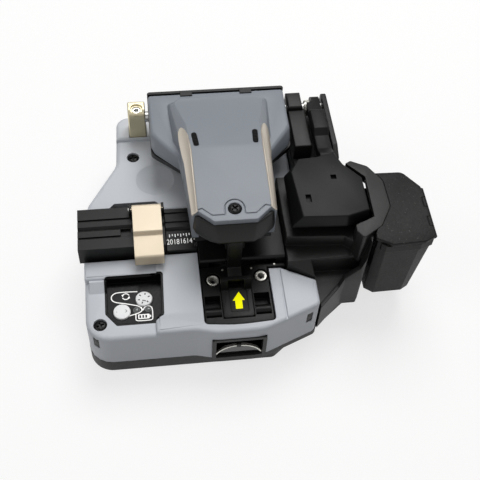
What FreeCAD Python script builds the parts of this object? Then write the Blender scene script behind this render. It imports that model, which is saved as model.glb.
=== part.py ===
import FreeCAD, Part
import math
import os

V = FreeCAD.Vector

# A bench cleaver for optical fibre. Millimetres.
# x runs along the fibre, y to the rear, z up. While it is modelled, x = 0 is the
# blade's plane, y = 0 the fibre's line and z = 0 the bench.

# ---- driving dimensions -------------------------------------------------
# Case
case_left = -51.0
case_front = -39.6
case_rear = 54.3
cover_right = 28.0
rear_cover_right = 26.0
housing_right = 46.8
tail_right = 42.0
tail_rear = 50.2
bulge_front = -41.3
wall = 2.0
foot_height = 0.8
foot_radius = 3.5
foot_seat = 1.2
tray_height = 6.0
flange_height = 2.8
low_top = 22.3
high_top = 24.5
hump_top = 25.3
rear_top = 26.0
rear_step_top = 27.5
cover_edge = 1.6
roof = 2.0
panel_floor = 20.2

# Fibre line and its channel
fibre_height = 29.5
channel_half = 9.3
deck_half = 9.0
deck_floor = 21.8
deck_top = 27.0
deck_under = 19.8
deck_right = -11.8
adapter_half = 8.6
adapter_left = -52.5
adapter_right = -22.5
adapter_top = 30.3

# Fits
running = 0.05
seat_gap = 0.15
moving_gap = 0.4
part_gap = 0.3

# Lever and its hinge
hinge_y = 46.0
hinge_z = 36.0
shaft_radius = 2.0
barrel_radius = 4.0
lever_half = 25.3
lever_rear = 50.5
lever_under = 36.0
wing_top = 44.0
frame_plate = 2.0
bridge_top = 48.0
crest_top = 54.8
shoulder_top = 53.5
nose_top = 52.4
arm_front = -12.0
cover_wall = 2.0

# Spring on the shaft beside the collector's arm
spring_wire = 0.3
spring_coil = 2.75
spring_turns = 4

# Blade carriage
blade_radius = 8.0
blade_thick = 1.2
blade_rest_y = 5.0
axle_z = 21.5
axle_radius = 1.5
rail_half = 3.5
rail_height = 5.0
chassis_thick = 2.6
carriage_half = 6.5
carriage_front = -6.5
carriage_rear = 19.0
carriage_under = 7.0
carriage_top = 15.0
crank_radius = 10.0
crank_rest_deg = 20.0
crank_pin_radius = 1.25
yoke_gap = 0.35

# Blade gears
gear_module = 0.4
blade_teeth = 16
pinion_teeth = 10

# Fibre collector
roller_x = 29.0
roller_radius = 5.0
roller_half = 5.0
journal_radius = 1.2
arm_top = 44.0
arm_base = 38.5
hood_top = 42.0
hood_under = 39.8
hood_skirt = 35.0

# Scrap bin
bin_left = 47.4
bin_bottom = 8.0
bin_rim = 40.4
bin_wall = 1.6
lid_top = 42.0
lid_thick = 1.4
lid_axis_x = 66.7
lid_axis_z = 40.9
lid_knuckle = 1.1

# ---- values that follow -------------------------------------------------
tray_under = foot_height
seam = tray_under + tray_height
tray_floor = tray_under + wall
chassis_top = tray_floor + chassis_thick
rail_top = chassis_top + rail_height
clamp_base_under = axle_z + 4.3
bore_radius = shaft_radius + running
blade_hub = axle_radius + running
pitch_blade = gear_module * blade_teeth / 2
pitch_pinion = gear_module * pinion_teeth / 2
pinion_y = blade_rest_y + pitch_blade + pitch_pinion
crank_rest = math.radians(crank_rest_deg)
crank_y = hinge_y + crank_radius * math.sin(crank_rest)
crank_z = hinge_z - crank_radius * math.cos(crank_rest)
frame_top = lever_under + frame_plate
nip = 0.1
lower_roller_z = fibre_height - nip - roller_radius
upper_roller_z = fibre_height + nip + roller_radius


# ---- shaping helpers ----------------------------------------------------
def rounded_wire(corners, place):
    """A closed wire through corners (a, b) or (a, b, radius)."""
    points = [place(corner[0], corner[1]) for corner in corners]
    count = len(points)
    spans = []
    for index, corner in enumerate(corners):
        here = points[index]
        radius = corner[2] if len(corner) > 2 else 0
        if radius == 0:
            spans.append((here, None, here))
            continue
        back = (points[index - 1] - here).normalize()
        ahead = (points[(index + 1) % count] - here).normalize()
        half = back.getAngle(ahead) / 2
        reach = radius / math.tan(half)
        inward = (back + ahead).normalize()
        middle = here + inward * (radius / math.sin(half) - radius)
        spans.append((here + back * reach, middle, here + ahead * reach))
    edges = []
    for index, (start, middle, end) in enumerate(spans):
        if middle is not None:
            edges.append(Part.Arc(start, middle, end).toShape())
        following = spans[(index + 1) % count][0]
        if end.distanceToPoint(following) > 0.0001:
            edges.append(Part.LineSegment(end, following).toShape())
    return Part.Wire(edges)


def prism(corners, low, high):
    """Extrude an outline in plan from one height to another."""
    wire = rounded_wire(corners, lambda a, b: V(a, b, low))
    return Part.Face(wire).extrude(V(0, 0, high - low))


def side_prism(corners, left, right):
    """Extrude a (y, z) outline along x."""
    wire = rounded_wire(corners, lambda a, b: V(left, a, b))
    return Part.Face(wire).extrude(V(right - left, 0, 0))


def front_prism(corners, front, rear):
    """Extrude an (x, z) outline along y."""
    wire = rounded_wire(corners, lambda a, b: V(a, front, b))
    return Part.Face(wire).extrude(V(0, rear - front, 0))


def block(left, right, front, rear, low, high):
    return Part.makeBox(right - left, rear - front, high - low, V(left, front, low))


def pin_x(left, right, y, z, radius):
    return Part.makeCylinder(radius, right - left, V(left, y, z), V(1, 0, 0))


def pin_y(front, rear, x, z, radius):
    return Part.makeCylinder(radius, rear - front, V(x, front, z), V(0, 1, 0))


def pin_z(low, high, x, y, radius):
    return Part.makeCylinder(radius, high - low, V(x, y, low), V(0, 0, 1))


def inset(corners, depth, low, high):
    """The same outline drawn in by a wall's thickness."""
    wire = rounded_wire(corners, lambda a, b: V(a, b, low))
    face = Part.Face(wire).makeOffset2D(-depth)
    return face.extrude(V(0, 0, high - low))


def edges_at(shape, height):
    found = []
    for edge in shape.Edges:
        box = edge.BoundBox
        if abs(box.ZMin - height) < 0.001 and abs(box.ZMax - height) < 0.001:
            found.append(edge)
    return found


def soft_top(shape, height, radius):
    return shape.makeFillet(radius, edges_at(shape, height))


def loft(rings):
    return Part.makeLoft(rings, True, True)


def plan_ring(points, height):
    return Part.makePolygon([V(x, y, height) for x, y in points] + [V(points[0][0], points[0][1], height)])


def cross_ring(points, y):
    return Part.makePolygon([V(x, y, z) for x, z in points] + [V(points[0][0], y, points[0][1])])


def mirrored(points):
    """A right-hand run of (x, ...) points closed by its mirror image."""
    return points + [(-x, y) for x, y in reversed(points)]


def joined(shapes):
    first = shapes[0]
    return first.fuse(shapes[1:]).removeSplitter()


def group(shapes):
    return Part.makeCompound(shapes)


def gear_x(teeth, left, right, y, z, turn):
    """A spur gear along x. One tooth points along +y before it is turned."""
    pitch = gear_module * teeth / 2
    step = 2 * math.pi / teeth
    levels = [(pitch - 1.25 * gear_module, 0.30), (pitch, 0.20), (pitch + 0.9 * gear_module, 0.10)]
    profile = []
    for tooth in range(teeth):
        centre = turn + tooth * step
        flank = [(radius, centre - share * step) for radius, share in levels]
        flank += [(radius, centre + share * step) for radius, share in reversed(levels)]
        profile += [(y + radius * math.cos(angle), z + radius * math.sin(angle)) for radius, angle in flank]
    return side_prism(profile, left, right)


# ---- outlines in plan ---------------------------------------------------
front_edge = [
    (case_left, case_front, 8.0),
    (-15.0, case_front, 12.0),
    (-8.0, bulge_front, 12.0),
    (8.0, bulge_front, 18.0),
    (cover_right, -33.2, 2.5),
]
left_edge = [
    (-37.5, case_rear, 4.5),
    (-38.5, 32.0, 8.0),
    (-49.0, 14.3, 3.0),
    (case_left, 10.5, 1.0),
]
shelf_front = -16.5
side_wall_top = (45.0, -21.8)
housing_edge = [
    (28.6, -31.0),
    (40.0, -21.8, 1.5),
    (side_wall_top[0], side_wall_top[1], 1.0),
    (housing_right, -18.0, 1.5),
    (housing_right, 8.5, 1.5),
    (tail_right, 19.0, 3.0),
    (tail_right, tail_rear, 1.5),
]
# Where the black housing meets the grey covers
housing_left = 18.6
front_cover_rear = [
    (cover_right, -23.3, 1.0),
    (16.4, -17.2, 1.0),
    (12.2, -17.0),
]
slot_left = -11.9
slot_right = 12.2
slot_front = -36.8
arm_gap_outline = [
    (40.2, -15.4),
    (47.9, -11.2),
    (48.3, 6.6),
    (42.8, 11.9),
]
hood_outline = [
    (41.5, -14.8),
    (44.0, -19.1, 1.0),
    (49.4, -14.0, 2.0),
    (53.7, -6.9, 5.0),
    (51.6, 7.1, 3.0),
    (44.4, 13.8, 1.0),
    (42.1, 12.6),
]

feet = [(-46.6, -26.5), (5.0, -33.0), (33.5, -10.0), (34.0, 43.0), (-31.0, 47.0)]
deck_screw_places = [(-7.6, -20.0), (9.2, -19.3)]
cover_screw_places = [(-46.2, -33.6, low_top), (-32.0, 35.0, rear_top)]

# Control panel
panel = [
    (-44.8, -13.3, 1.2),
    (-44.8, -26.8, 0.8),
    (-41.0, -32.5, 0.8),
    (-24.1, -32.5, 1.2),
    (-24.1, -13.3, 1.2),
]
panel_lining = 0.8
turn_button = (-31.0, -22.6, 2.85)
link_button = (-37.4, -26.6, 3.0)
led_places = [(-32.6, -26.6), (-29.6, -26.5)]
led_radius = 0.8

# Battery bay
battery = (-41.5, -13.5, -34.5, -13.5)
battery_height = 7.0


# ---- base ---------------------------------------------------------------
def base_tray():
    deep = [
        *front_edge[:1],
        (12.5, case_front, 3.0),
        (26.0, -29.0, 3.0),
        (38.5, -17.0, 3.0),
        (38.5, tail_rear - 1.5, 2.0),
        (rear_cover_right, tail_rear - 1.5),
        (rear_cover_right, case_rear, 1.5),
        *left_edge,
    ]
    flange = [
        *front_edge,
        *housing_edge,
        (rear_cover_right, tail_rear),
        (rear_cover_right, case_rear, 1.5),
        *left_edge,
    ]
    body = prism(deep, tray_under, seam).fuse(prism(flange, seam - flange_height, seam))
    hollow = [
        (case_left + wall, case_front + wall, 6.0),
        (12.0, case_front + wall, 3.0),
        (24.4, -28.0, 2.0),
        (24.4, case_rear - wall, 1.0),
        (-37.5 + wall, case_rear - wall, 3.0),
        (-38.5 + wall, 32.0, 8.0),
        (-49.0 + wall, 14.9, 2.0),
        (case_left + wall, 11.0, 1.0),
    ]
    body = body.cut(prism(hollow, tray_floor, seam + 1))
    body = body.cut(block(27.5, 36.5, -13.0, tail_rear - 4.0, tray_floor, seam + 1))
    for x, y in feet:
        body = body.cut(pin_z(0, tray_under + foot_seat, x, y, foot_radius))
    left, right, front, rear = battery
    body = body.cut(block(left + 1, right - 1, front + 1, rear - 1, 0, tray_floor + 1))
    body = body.cut(block(left - 1 - seat_gap, right + 1 + seat_gap, front - 1 - seat_gap,
                          rear + 1 + seat_gap, 0, tray_under + 1.0))
    return body.removeSplitter()


def rubber_feet():
    pads = []
    for x, y in feet:
        pad = pin_z(0, tray_under + foot_seat, x, y, foot_radius)
        pads.append(pad.makeChamfer(0.4, edges_at(pad, 0)))
    return group(pads)


def battery_cover():
    left, right, front, rear = battery
    door = block(left - 1, right + 1, front - 1, rear + 1, tray_under, tray_under + 1.0)
    return door.cut(battery_screw_hole())


def battery_screw_hole():
    left, right, front, rear = battery
    x = (left + right) / 2
    return pin_z(0, tray_floor + 1, x, rear + 0.5 - wall, 1.0)


def battery_cell():
    left, right, front, rear = battery
    cell = block(left + 1, right - 1, front + 1, rear - 4, tray_under + 1.3, tray_under + 1.3 + battery_height)
    edges = [edge for edge in cell.Edges if abs(edge.Vertexes[0].Y - edge.Vertexes[-1].Y) < 0.01
             and abs(edge.Vertexes[0].Z - edge.Vertexes[-1].Z) < 0.01]
    return cell.makeFillet(2.0, edges)


def chassis():
    plate = [
        (-47.5, -8.0, 1.0),
        (-11.6, -8.0),
        (-11.6, -35.5, 1.0),
        (10.5, -35.5, 1.0),
        (23.6, -26.5, 1.0),
        (23.6, 51.0, 1.0),
        (-34.0, 51.0, 1.0),
        (-34.0, 40.0, 1.0),
        (-11.6, 30.0, 1.0),
        (-11.6, 8.0),
        (-47.5, 8.0, 1.0),
    ]
    body = prism(plate, tray_floor, chassis_top)
    posts = [
        block(-46.0, -42.0, -6.0, 6.0, chassis_top, deck_under),
        block(-18.0, -14.0, -6.0, 6.0, chassis_top, deck_under),
        block(-32.0, -27.0, hinge_y - 1.5, hinge_y + 4.0, chassis_top, bracket_foot),
    ]
    for x, y in deck_screw_places:
        posts.append(pin_z(chassis_top, front_deck_under, x, y, 2.6))
    body = joined([body] + posts)
    for x, y in deck_screw_places:
        body = body.cut(pin_z(chassis_top + 4, front_deck_under + 1, x, y, screw_shank + seat_gap))
    return body


front_deck_under = 17.5
front_deck_top = 24.0
screw_shank = 1.5
screw_head = 2.75
screw_head_height = 3.0
bracket_foot = 20.0


def slide_rail():
    return block(-rail_half, rail_half, -24.0, 26.0, chassis_top, rail_top)


def front_cover_form():
    outer = front_edge + front_cover_rear + [
        (slot_right, slot_front, 1.5),
        (slot_left, slot_front, 1.5),
        (slot_left, -channel_half),
        (case_left, -channel_half),
    ]
    low = soft_top(prism(outer, seam, low_top), low_top, cover_edge)
    raised = [
        (case_left, -17.0, 1.0),
        (-27.8, -17.0, 1.0),
        (-27.8, case_front, 1.0),
        (-15.0, case_front, 12.0),
        (-8.0, bulge_front, 12.0),
        (8.0, bulge_front, 18.0),
        (cover_right, -33.2, 2.5),
    ] + front_cover_rear + [
        (slot_right, slot_front, 1.5),
        (slot_left, slot_front, 1.5),
        (slot_left, -channel_half),
        (case_left, -channel_half),
    ]
    high = soft_top(prism(raised, seam, high_top), high_top, 1.2)
    hump = [
        (-26.6, -36.5, 2.0),
        (-16.0, -36.5, 2.0),
        (-16.0, -channel_half),
        (-26.6, -channel_half),
    ]
    swell = soft_top(prism(hump, high_top - 1, hump_top), hump_top, 0.7)
    ramp = side_prism([(-17.4, low_top - 1), (-17.4, high_top), (-18.1, high_top), (-21.5, low_top),
                       (-21.5, low_top - 1)], case_left + cover_edge, -28.5)
    form = joined([low, high, swell, ramp])
    groove = [(16.2, -44.0), (17.0, -44.0), (17.0, -15.0), (16.2, -15.0)]
    return form.cut(prism(groove, high_top - 0.6, high_top + 1))


def front_cover():
    outer = front_edge + front_cover_rear + [
        (slot_right, slot_front, 1.5),
        (slot_left, slot_front, 1.5),
        (slot_left, -channel_half),
        (case_left, -channel_half),
    ]
    body = front_cover_form()
    body = body.cut(inset(outer, wall, seam - 1, panel_floor - roof))
    body = body.cut(prism(panel, panel_floor, high_top + 5))
    for x, y, radius in (turn_button, link_button):
        body = body.cut(pin_z(panel_floor - roof - 1, panel_floor + 1, x, y, radius + seat_gap))
    for x, y in led_places:
        body = body.cut(pin_z(panel_floor - roof - 1, panel_floor + 1, x, y, led_radius))
    body = body.cut(window_opening())
    x, y, top = cover_screw_places[0]
    body = body.fuse(pin_z(seam, panel_floor - roof + 0.5, x, y, 2.6))
    body = body.cut(pin_z(seam, top + 3, x, y, cover_screw_shank))
    body = body.cut(pin_z(top - cover_screw_sink, top + 3, x, y, cover_screw_head + 0.1))
    return body.removeSplitter()


cover_screw_shank = 1.2
cover_screw_head = 2.2
cover_screw_sink = 1.6

window_left = -9.5
window_right = 9.0
window_low = seam
window_high = 19.5
window_rear = -38.9


def window_opening():
    return block(window_left, window_right, bulge_front - 3, slot_front - 0.2, window_low, window_high)


def window_bezel():
    frame = block(window_left, window_right, bulge_front - 0.35, window_rear + 0.6, window_low, window_high)
    frame = frame.makeFillet(1.0, [edge for edge in frame.Edges
                                   if abs(edge.Vertexes[0].X - edge.Vertexes[-1].X) < 0.01
                                   and abs(edge.Vertexes[0].Z - edge.Vertexes[-1].Z) < 0.01])
    return frame.cut(block(window_left + 1.3, window_right - 1.3, bulge_front - 3, window_rear,
                           window_low - 1, window_high - 1.3))


arch_radius = 8.3
arch_centre = -0.3


def window_arch():
    disc = pin_y(window_rear - 1.4, window_rear, arch_centre, window_low + 4.2 - arch_radius + 2, arch_radius)
    return disc.common(block(window_left + 1.4, window_right - 1.4, -50, 0, window_low, window_high))


def window_rim():
    centre_z = window_low + 4.2 - arch_radius + 2
    ring = pin_y(window_rear - 1.6, window_rear - 0.2, arch_centre, centre_z, arch_radius + 0.5)
    ring = ring.cut(pin_y(window_rear - 3, window_rear + 1, arch_centre, centre_z, arch_radius))
    ring = ring.common(block(window_left + 1.4, window_right - 1.4, -50, 0, window_low, window_high))
    return ring


def rear_cover_outline():
    return [
        (rear_cover_right, 15.9),
        (rear_cover_right, case_rear, 1.5),
        (-37.5, case_rear, 4.5),
        (-38.5, 32.0, 8.0),
        (-49.0, 14.3, 3.0),
        (-50.6, channel_half),
        (deck_right + 0.2, channel_half),
        (deck_right + 0.2, 15.9),
    ]


def rear_cover_form():
    low = soft_top(prism(rear_cover_outline(), seam, rear_top), rear_top, cover_edge)
    step = [
        (rear_cover_right - 0.1, 43.0),
        (rear_cover_right - 0.1, case_rear, 1.5),
        (-37.5, case_rear, 4.5),
        (-37.95, 43.0),
    ]
    high = soft_top(prism(step, seam, rear_step_top), rear_step_top, 1.2)
    return joined([low, high])


dimple_place = (-24.5, 23.8)
dimple_radius = 7.2
dimple_depth = 2.0
deck_tab = [
    (-41.7, 8.5),
    (-23.8, 8.5),
    (-23.8, 12.4, 1.0),
    (-25.0, 13.7, 1.0),
    (-39.8, 13.7, 1.0),
    (-41.7, 11.6, 1.0),
]


def rear_cover():
    body = rear_cover_form()
    body = body.cut(inset(rear_cover_outline(), wall - 0.4, seam - 1, rear_top - roof))
    ball = (dimple_radius ** 2 + dimple_depth ** 2) / (2 * dimple_depth)
    x, y = dimple_place
    pocket = Part.makeSphere(ball, V(x, y, rear_top + ball - dimple_depth))
    lining = pin_z(rear_top - dimple_depth - roof, rear_top - roof + 0.2, x, y, dimple_radius)
    body = body.fuse(lining).cut(pocket)
    body = body.cut(prism(deck_tab, seam, rear_top + 1))
    skirt = block(-44.0, -22.0, deck_tab[3][1] + 0.001, deck_tab[3][1] + 1.2, deck_floor, rear_top - 1)
    body = body.fuse(skirt)
    # The way through for the carriage and its rail
    body = body.cut(block(-carriage_half - 0.6, carriage_half + 0.6, 15.0, 19.0, tray_floor, carriage_top + 0.6))
    # The slot that the lever's crank swings in
    body = body.cut(block(-yoke_half - 1.0, crank_right + 1.0, crank_y - crank_travel - 4.5,
                          case_rear - wall + 0.4, rear_top - roof - 1, rear_step_top + 1))
    body = body.cut(block(bracket_left - seat_gap, bracket_right + seat_gap, bracket_front - seat_gap,
                          bracket_rear + seat_gap, rear_top - roof - 1, rear_step_top + 1))
    x, y, top = cover_screw_places[1]
    body = body.fuse(pin_z(tray_floor, rear_top - roof + 0.5, x, y, 2.6))
    body = body.cut(pin_z(tray_floor - 1, top + 3, x, y, cover_screw_shank))
    body = body.cut(pin_z(top - cover_screw_sink, top + 3, x, y, cover_screw_head + 0.1))
    return body.removeSplitter()


def cover_screw_part(x, y, top):
    head = pin_z(top - cover_screw_sink, top - 0.2, x, y, cover_screw_head)
    shank = pin_z(top - 12.0, top - cover_screw_sink, x, y, cover_screw_shank - seat_gap)
    cross = block(x - 0.35, x + 0.35, y - 1.3, y + 1.3, top - 0.9, top)
    cross = cross.fuse(block(x - 1.3, x + 1.3, y - 0.35, y + 0.35, top - 0.9, top))
    return joined([head, shank]).cut(cross)


def cover_screws():
    return group([cover_screw_part(x, y, top) for x, y, top in cover_screw_places])


def holder_deck():
    body = block(case_left + 1.0, deck_right, -deck_half, deck_half, deck_under, deck_floor)
    raised = block(adapter_right + part_gap, deck_right, -deck_half, deck_half, deck_floor - 1, deck_top)
    tab = [(x, y) for x, y, *rest in deck_tab]
    lip = [(x + (0.2 if x < -30 else -0.2), min(y, 13.5)) for x, y in tab]
    body = joined([body, raised, prism(lip, deck_under, deck_floor + 1.2)])
    body = body.cut(block(adapter_left, adapter_right + part_gap, -deck_half, adapter_half + 0.25, deck_floor, deck_top))
    groove = side_prism([(-0.9, deck_top + 0.1), (0, deck_top - 0.8), (0.9, deck_top + 0.1)],
                        adapter_right, deck_right + 1)
    body = body.cut(groove)
    for front, rear in ((2.2, 3.4), (5.0, 7.4)):
        body = body.cut(block(adapter_right, deck_right + 1, front, rear, deck_top - 0.5, deck_top + 1))
    for x in magnet_places:
        body = body.cut(pin_z(deck_floor - magnet_height, deck_floor + 1, x, 0, magnet_radius))
    return body.removeSplitter()


magnet_places = (-44.0, -30.0)
magnet_radius = 2.5
magnet_height = 1.2


def holder_magnets():
    return group([pin_z(deck_floor - magnet_height, deck_floor, x, 0, magnet_radius) for x in magnet_places])


clamp_base_left = deck_right + 0.3
clamp_base_right = 18.3
clamp_base_front = -14.6
clamp_base_rear = 15.4
blade_reach = 12.4
clamp_inner = 1.6
clamp_outer = 10.0
clamp_half = 2.6
pad_thick = 0.8


def clamp_base():
    outline = [
        (clamp_base_front, chassis_top),
        (clamp_base_rear, chassis_top),
        (clamp_base_rear, deck_top, 1.0),
        (clamp_base_front, deck_top, 1.0),
    ]
    body = side_prism(outline, clamp_base_left, clamp_base_right)
    body = body.cut(block(clamp_base_left + 3.0, clamp_base_right - 3.1, clamp_base_front - 1,
                          clamp_base_rear + 1, chassis_top - 1, clamp_base_under))
    body = body.cut(block(-1.1, 1.1, -blade_reach, blade_reach, clamp_base_under - 1, deck_top + 1))
    return body


def lower_clamps():
    top = fibre_height - 0.1 - pad_thick
    return group([block(side, side + clamp_outer - clamp_inner, -clamp_half, clamp_half, deck_top, top)
                  for side in (-clamp_outer, clamp_inner)])


def lower_clamp_pads():
    top = fibre_height - 0.1
    return group([block(side, side + clamp_outer - clamp_inner, -clamp_half, clamp_half, top - pad_thick, top)
                  for side in (-clamp_outer, clamp_inner)])


# Front deck with its sliding latch
latch_half = 5.2
latch_front = -35.0
latch_travel = 3.0
latch_floor = 20.6
barrel_y = -30.8
barrel_z = 21.9
knuckle_radius = 1.9


def front_deck():
    outline = [
        (slot_left + 0.3, slot_front + 0.3, 1.3),
        (slot_right - 0.3, slot_front + 0.3, 1.3),
        (slot_right - 0.3, -16.6),
        (clamp_base_right, -16.6),
        (clamp_base_right, clamp_base_front - part_gap),
        (slot_left + 0.3, clamp_base_front - part_gap),
    ]
    body = soft_top(prism(outline, front_deck_under, front_deck_top), front_deck_top, 0.5)
    body = body.cut(block(-latch_half - seat_gap, latch_half + seat_gap, latch_front - seat_gap,
                          -20.6, latch_floor - 0.1, front_deck_top + 1))
    for side in (-1, 1):
        near = 5.9 * side
        far = 10.9 * side
        pocket = block(min(near, far), max(near, far), -34.2, -25.4, latch_floor - 0.4, front_deck_top + 1)
        bar = pin_x(min(near, far) - 0.3, max(near, far) + 0.3, barrel_y, barrel_z, knuckle_radius)
        body = body.cut(pocket).fuse(bar)
    for x, y in deck_screw_places:
        body = body.cut(pin_z(front_deck_top - screw_head_height, front_deck_top + 1, x, y, screw_head + seat_gap))
        body = body.cut(pin_z(front_deck_under - 1, front_deck_top, x, y, screw_shank + seat_gap))
    return body.removeSplitter()


def deck_screws():
    screws = []
    for x, y in deck_screw_places:
        low = front_deck_top - screw_head_height
        head = pin_z(low, front_deck_top - 0.1, x, y, screw_head)
        shank = pin_z(chassis_top + 5, low, x, y, screw_shank)
        socket = Part.Face(Part.makePolygon(
            [V(x + 1.45 * math.cos(math.radians(60 * k)), y + 1.45 * math.sin(math.radians(60 * k)),
               front_deck_top - 1.8) for k in range(7)])).extrude(V(0, 0, 3))
        screws.append(joined([head, shank]).cut(socket))
    return group(screws)


def latch_slide():
    plate = [
        (-latch_half, latch_front, 0.8),
        (latch_half, latch_front, 0.8),
        (latch_half, latch_rear - 1.2),
        (latch_half - 0.9, latch_rear),
        (-latch_half + 0.9, latch_rear),
        (-latch_half, latch_rear - 1.2),
    ]
    body = prism(plate, latch_floor, front_deck_top + 0.4)
    body = body.cut(prism([(-3.1, -33.7, 0.4), (3.1, -33.7, 0.4), (3.1, -25.6, 0.4), (-3.1, -25.6, 0.4)],
                          front_deck_top, front_deck_top + 2))
    for side in (-1, 1):
        left = min(side * 2.8, side * latch_half)
        right = max(side * 2.8, side * latch_half)
        riser = side_prism([(latch_rear - 1.4, front_deck_top), (latch_rear - 1.4, front_deck_top + 0.6),
                            (catch_rear - 1.6, catch_top), (catch_rear, catch_top),
                            (catch_rear, front_deck_top + seat_gap)], left, right)
        body = body.fuse(riser)
    bridge = block(-latch_half, latch_half, catch_rear - 1.4, catch_rear, catch_under, catch_top)
    return body.fuse(bridge).removeSplitter()


latch_rear = -23.8
catch_rear = -22.2
toe_under = 25.0
toe_top = 27.0
catch_under = toe_top + part_gap
catch_top = catch_under + 1.0


def panel_bezel():
    cup = prism(panel, panel_floor, high_top + 2).common(front_cover_form())
    wire = rounded_wire(panel, lambda a, b: V(a, b, panel_floor + panel_lining))
    core = Part.Face(wire).makeOffset2D(-panel_lining).extrude(V(0, 0, 6))
    cup = cup.cut(core)
    for x, y, radius in (turn_button, link_button):
        cup = cup.cut(pin_z(panel_floor - 1, panel_floor + 2, x, y, radius + seat_gap))
    for x, y in led_places:
        cup = cup.cut(pin_z(panel_floor - 1, panel_floor + 2, x, y, led_radius))
    return cup.removeSplitter()


def panel_button(place):
    x, y, radius = place
    low = panel_floor - roof - 0.6
    top = panel_floor + panel_lining + 0.7
    cap = pin_z(panel_floor + 0.0, top, x, y, radius)
    cap = cap.makeFillet(0.35, edges_at(cap, top))
    stem = pin_z(low, panel_floor + 0.1, x, y, radius - 0.6)
    return joined([cap, stem])


def status_leds():
    return group([pin_z(panel_floor - roof, panel_floor + panel_lining + 0.1, x, y, led_radius)
                  for x, y in led_places])


def circuit_board():
    top = panel_floor - roof - 1.4
    board = prism([(-46.5, -13.0, 1.0), (-46.5, -28.0, 1.0), (-41.5, -33.5, 1.0), (-18.0, -33.5, 1.0),
                   (-18.0, -13.0, 1.0)], top - 1.2, top)
    switches = [block(x - 1.6, x + 1.6, y - 1.6, y + 1.6, top, top + 0.4) for x, y, radius in (turn_button, link_button)]
    return joined([board] + switches)


# Hinge
bracket_left = -32.8
bracket_right = -26.4
bracket_front = 43.9
bracket_rear = 49.9
bracket_top = 40.5
hinge_block_left = 26.5
hinge_block_right_side = 32.9
crank_left = 3.2
crank_right = 6.0
yoke_half = 2.5
crank_travel = crank_radius * (math.sin(crank_rest) + math.sin(math.radians(60) - crank_rest))


def hinge_bracket():
    profile = [
        (bracket_front, bracket_foot),
        (bracket_rear, bracket_foot),
        (bracket_rear, bracket_top, 0.8),
        (bracket_front, bracket_top, 2.6),
    ]
    body = side_prism(profile, bracket_left, bracket_right)
    top_edges = [edge for edge in body.Edges if edge.BoundBox.ZMax > bracket_top - 3
                 and edge.BoundBox.XLength < 0.001 and edge.BoundBox.ZMin > rear_step_top + 2]
    body = body.makeChamfer(0.35, top_edges)
    x = (bracket_left + bracket_right) / 2
    body = body.cut(pin_x(bracket_left + 1.0, bracket_right + 1, hinge_y, hinge_z, shaft_radius))
    body = body.cut(pin_z(hinge_z + shaft_radius - 0.4, bracket_top + 1, x, hinge_y, 1.55))
    body = body.cut(pin_z(bracket_top - 0.6, bracket_top + 1, x, hinge_y, 2.3))
    return body


def hinge_set_screw():
    x = (bracket_left + bracket_right) / 2
    low = hinge_z + shaft_radius
    screw = pin_z(low, bracket_top - 0.9, x, hinge_y, 1.5)
    socket = Part.Face(Part.makePolygon(
        [V(x + 0.9 * math.cos(math.radians(60 * k)), hinge_y + 0.9 * math.sin(math.radians(60 * k)),
           bracket_top - 2.0) for k in range(7)])).extrude(V(0, 0, 3))
    return screw.cut(socket)


def hinge_shaft():
    shaft = pin_x(bracket_left + 1.0, tail_right - 0.5, hinge_y, hinge_z, shaft_radius)
    return shaft


def hinge_block():
    front = soft_top(block(hinge_block_left, hinge_block_right_side, 26.0, 38.0, rear_block_top, 39.0), 39.0, 0.8)
    rear = soft_top(block(hinge_block_left, hinge_block_right_side - 0.8, 38.0, 49.6, rear_block_top, 40.6), 40.6, 0.8)
    body = joined([front, rear])
    return body.cut(pin_x(hinge_block_left - 1, hinge_block_right_side + 1, hinge_y, hinge_z, shaft_radius))


# Right-hand housing
rear_block_top = 30.0
ledge_top = 33.0
shelf_top = 28.0
pit_top = 20.0
ledge_front = -8.0
bay_left = 22.6
bay_right = 35.4
bay_half = 6.2
trough_half = 5.6
trough_floor = 25.0


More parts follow.
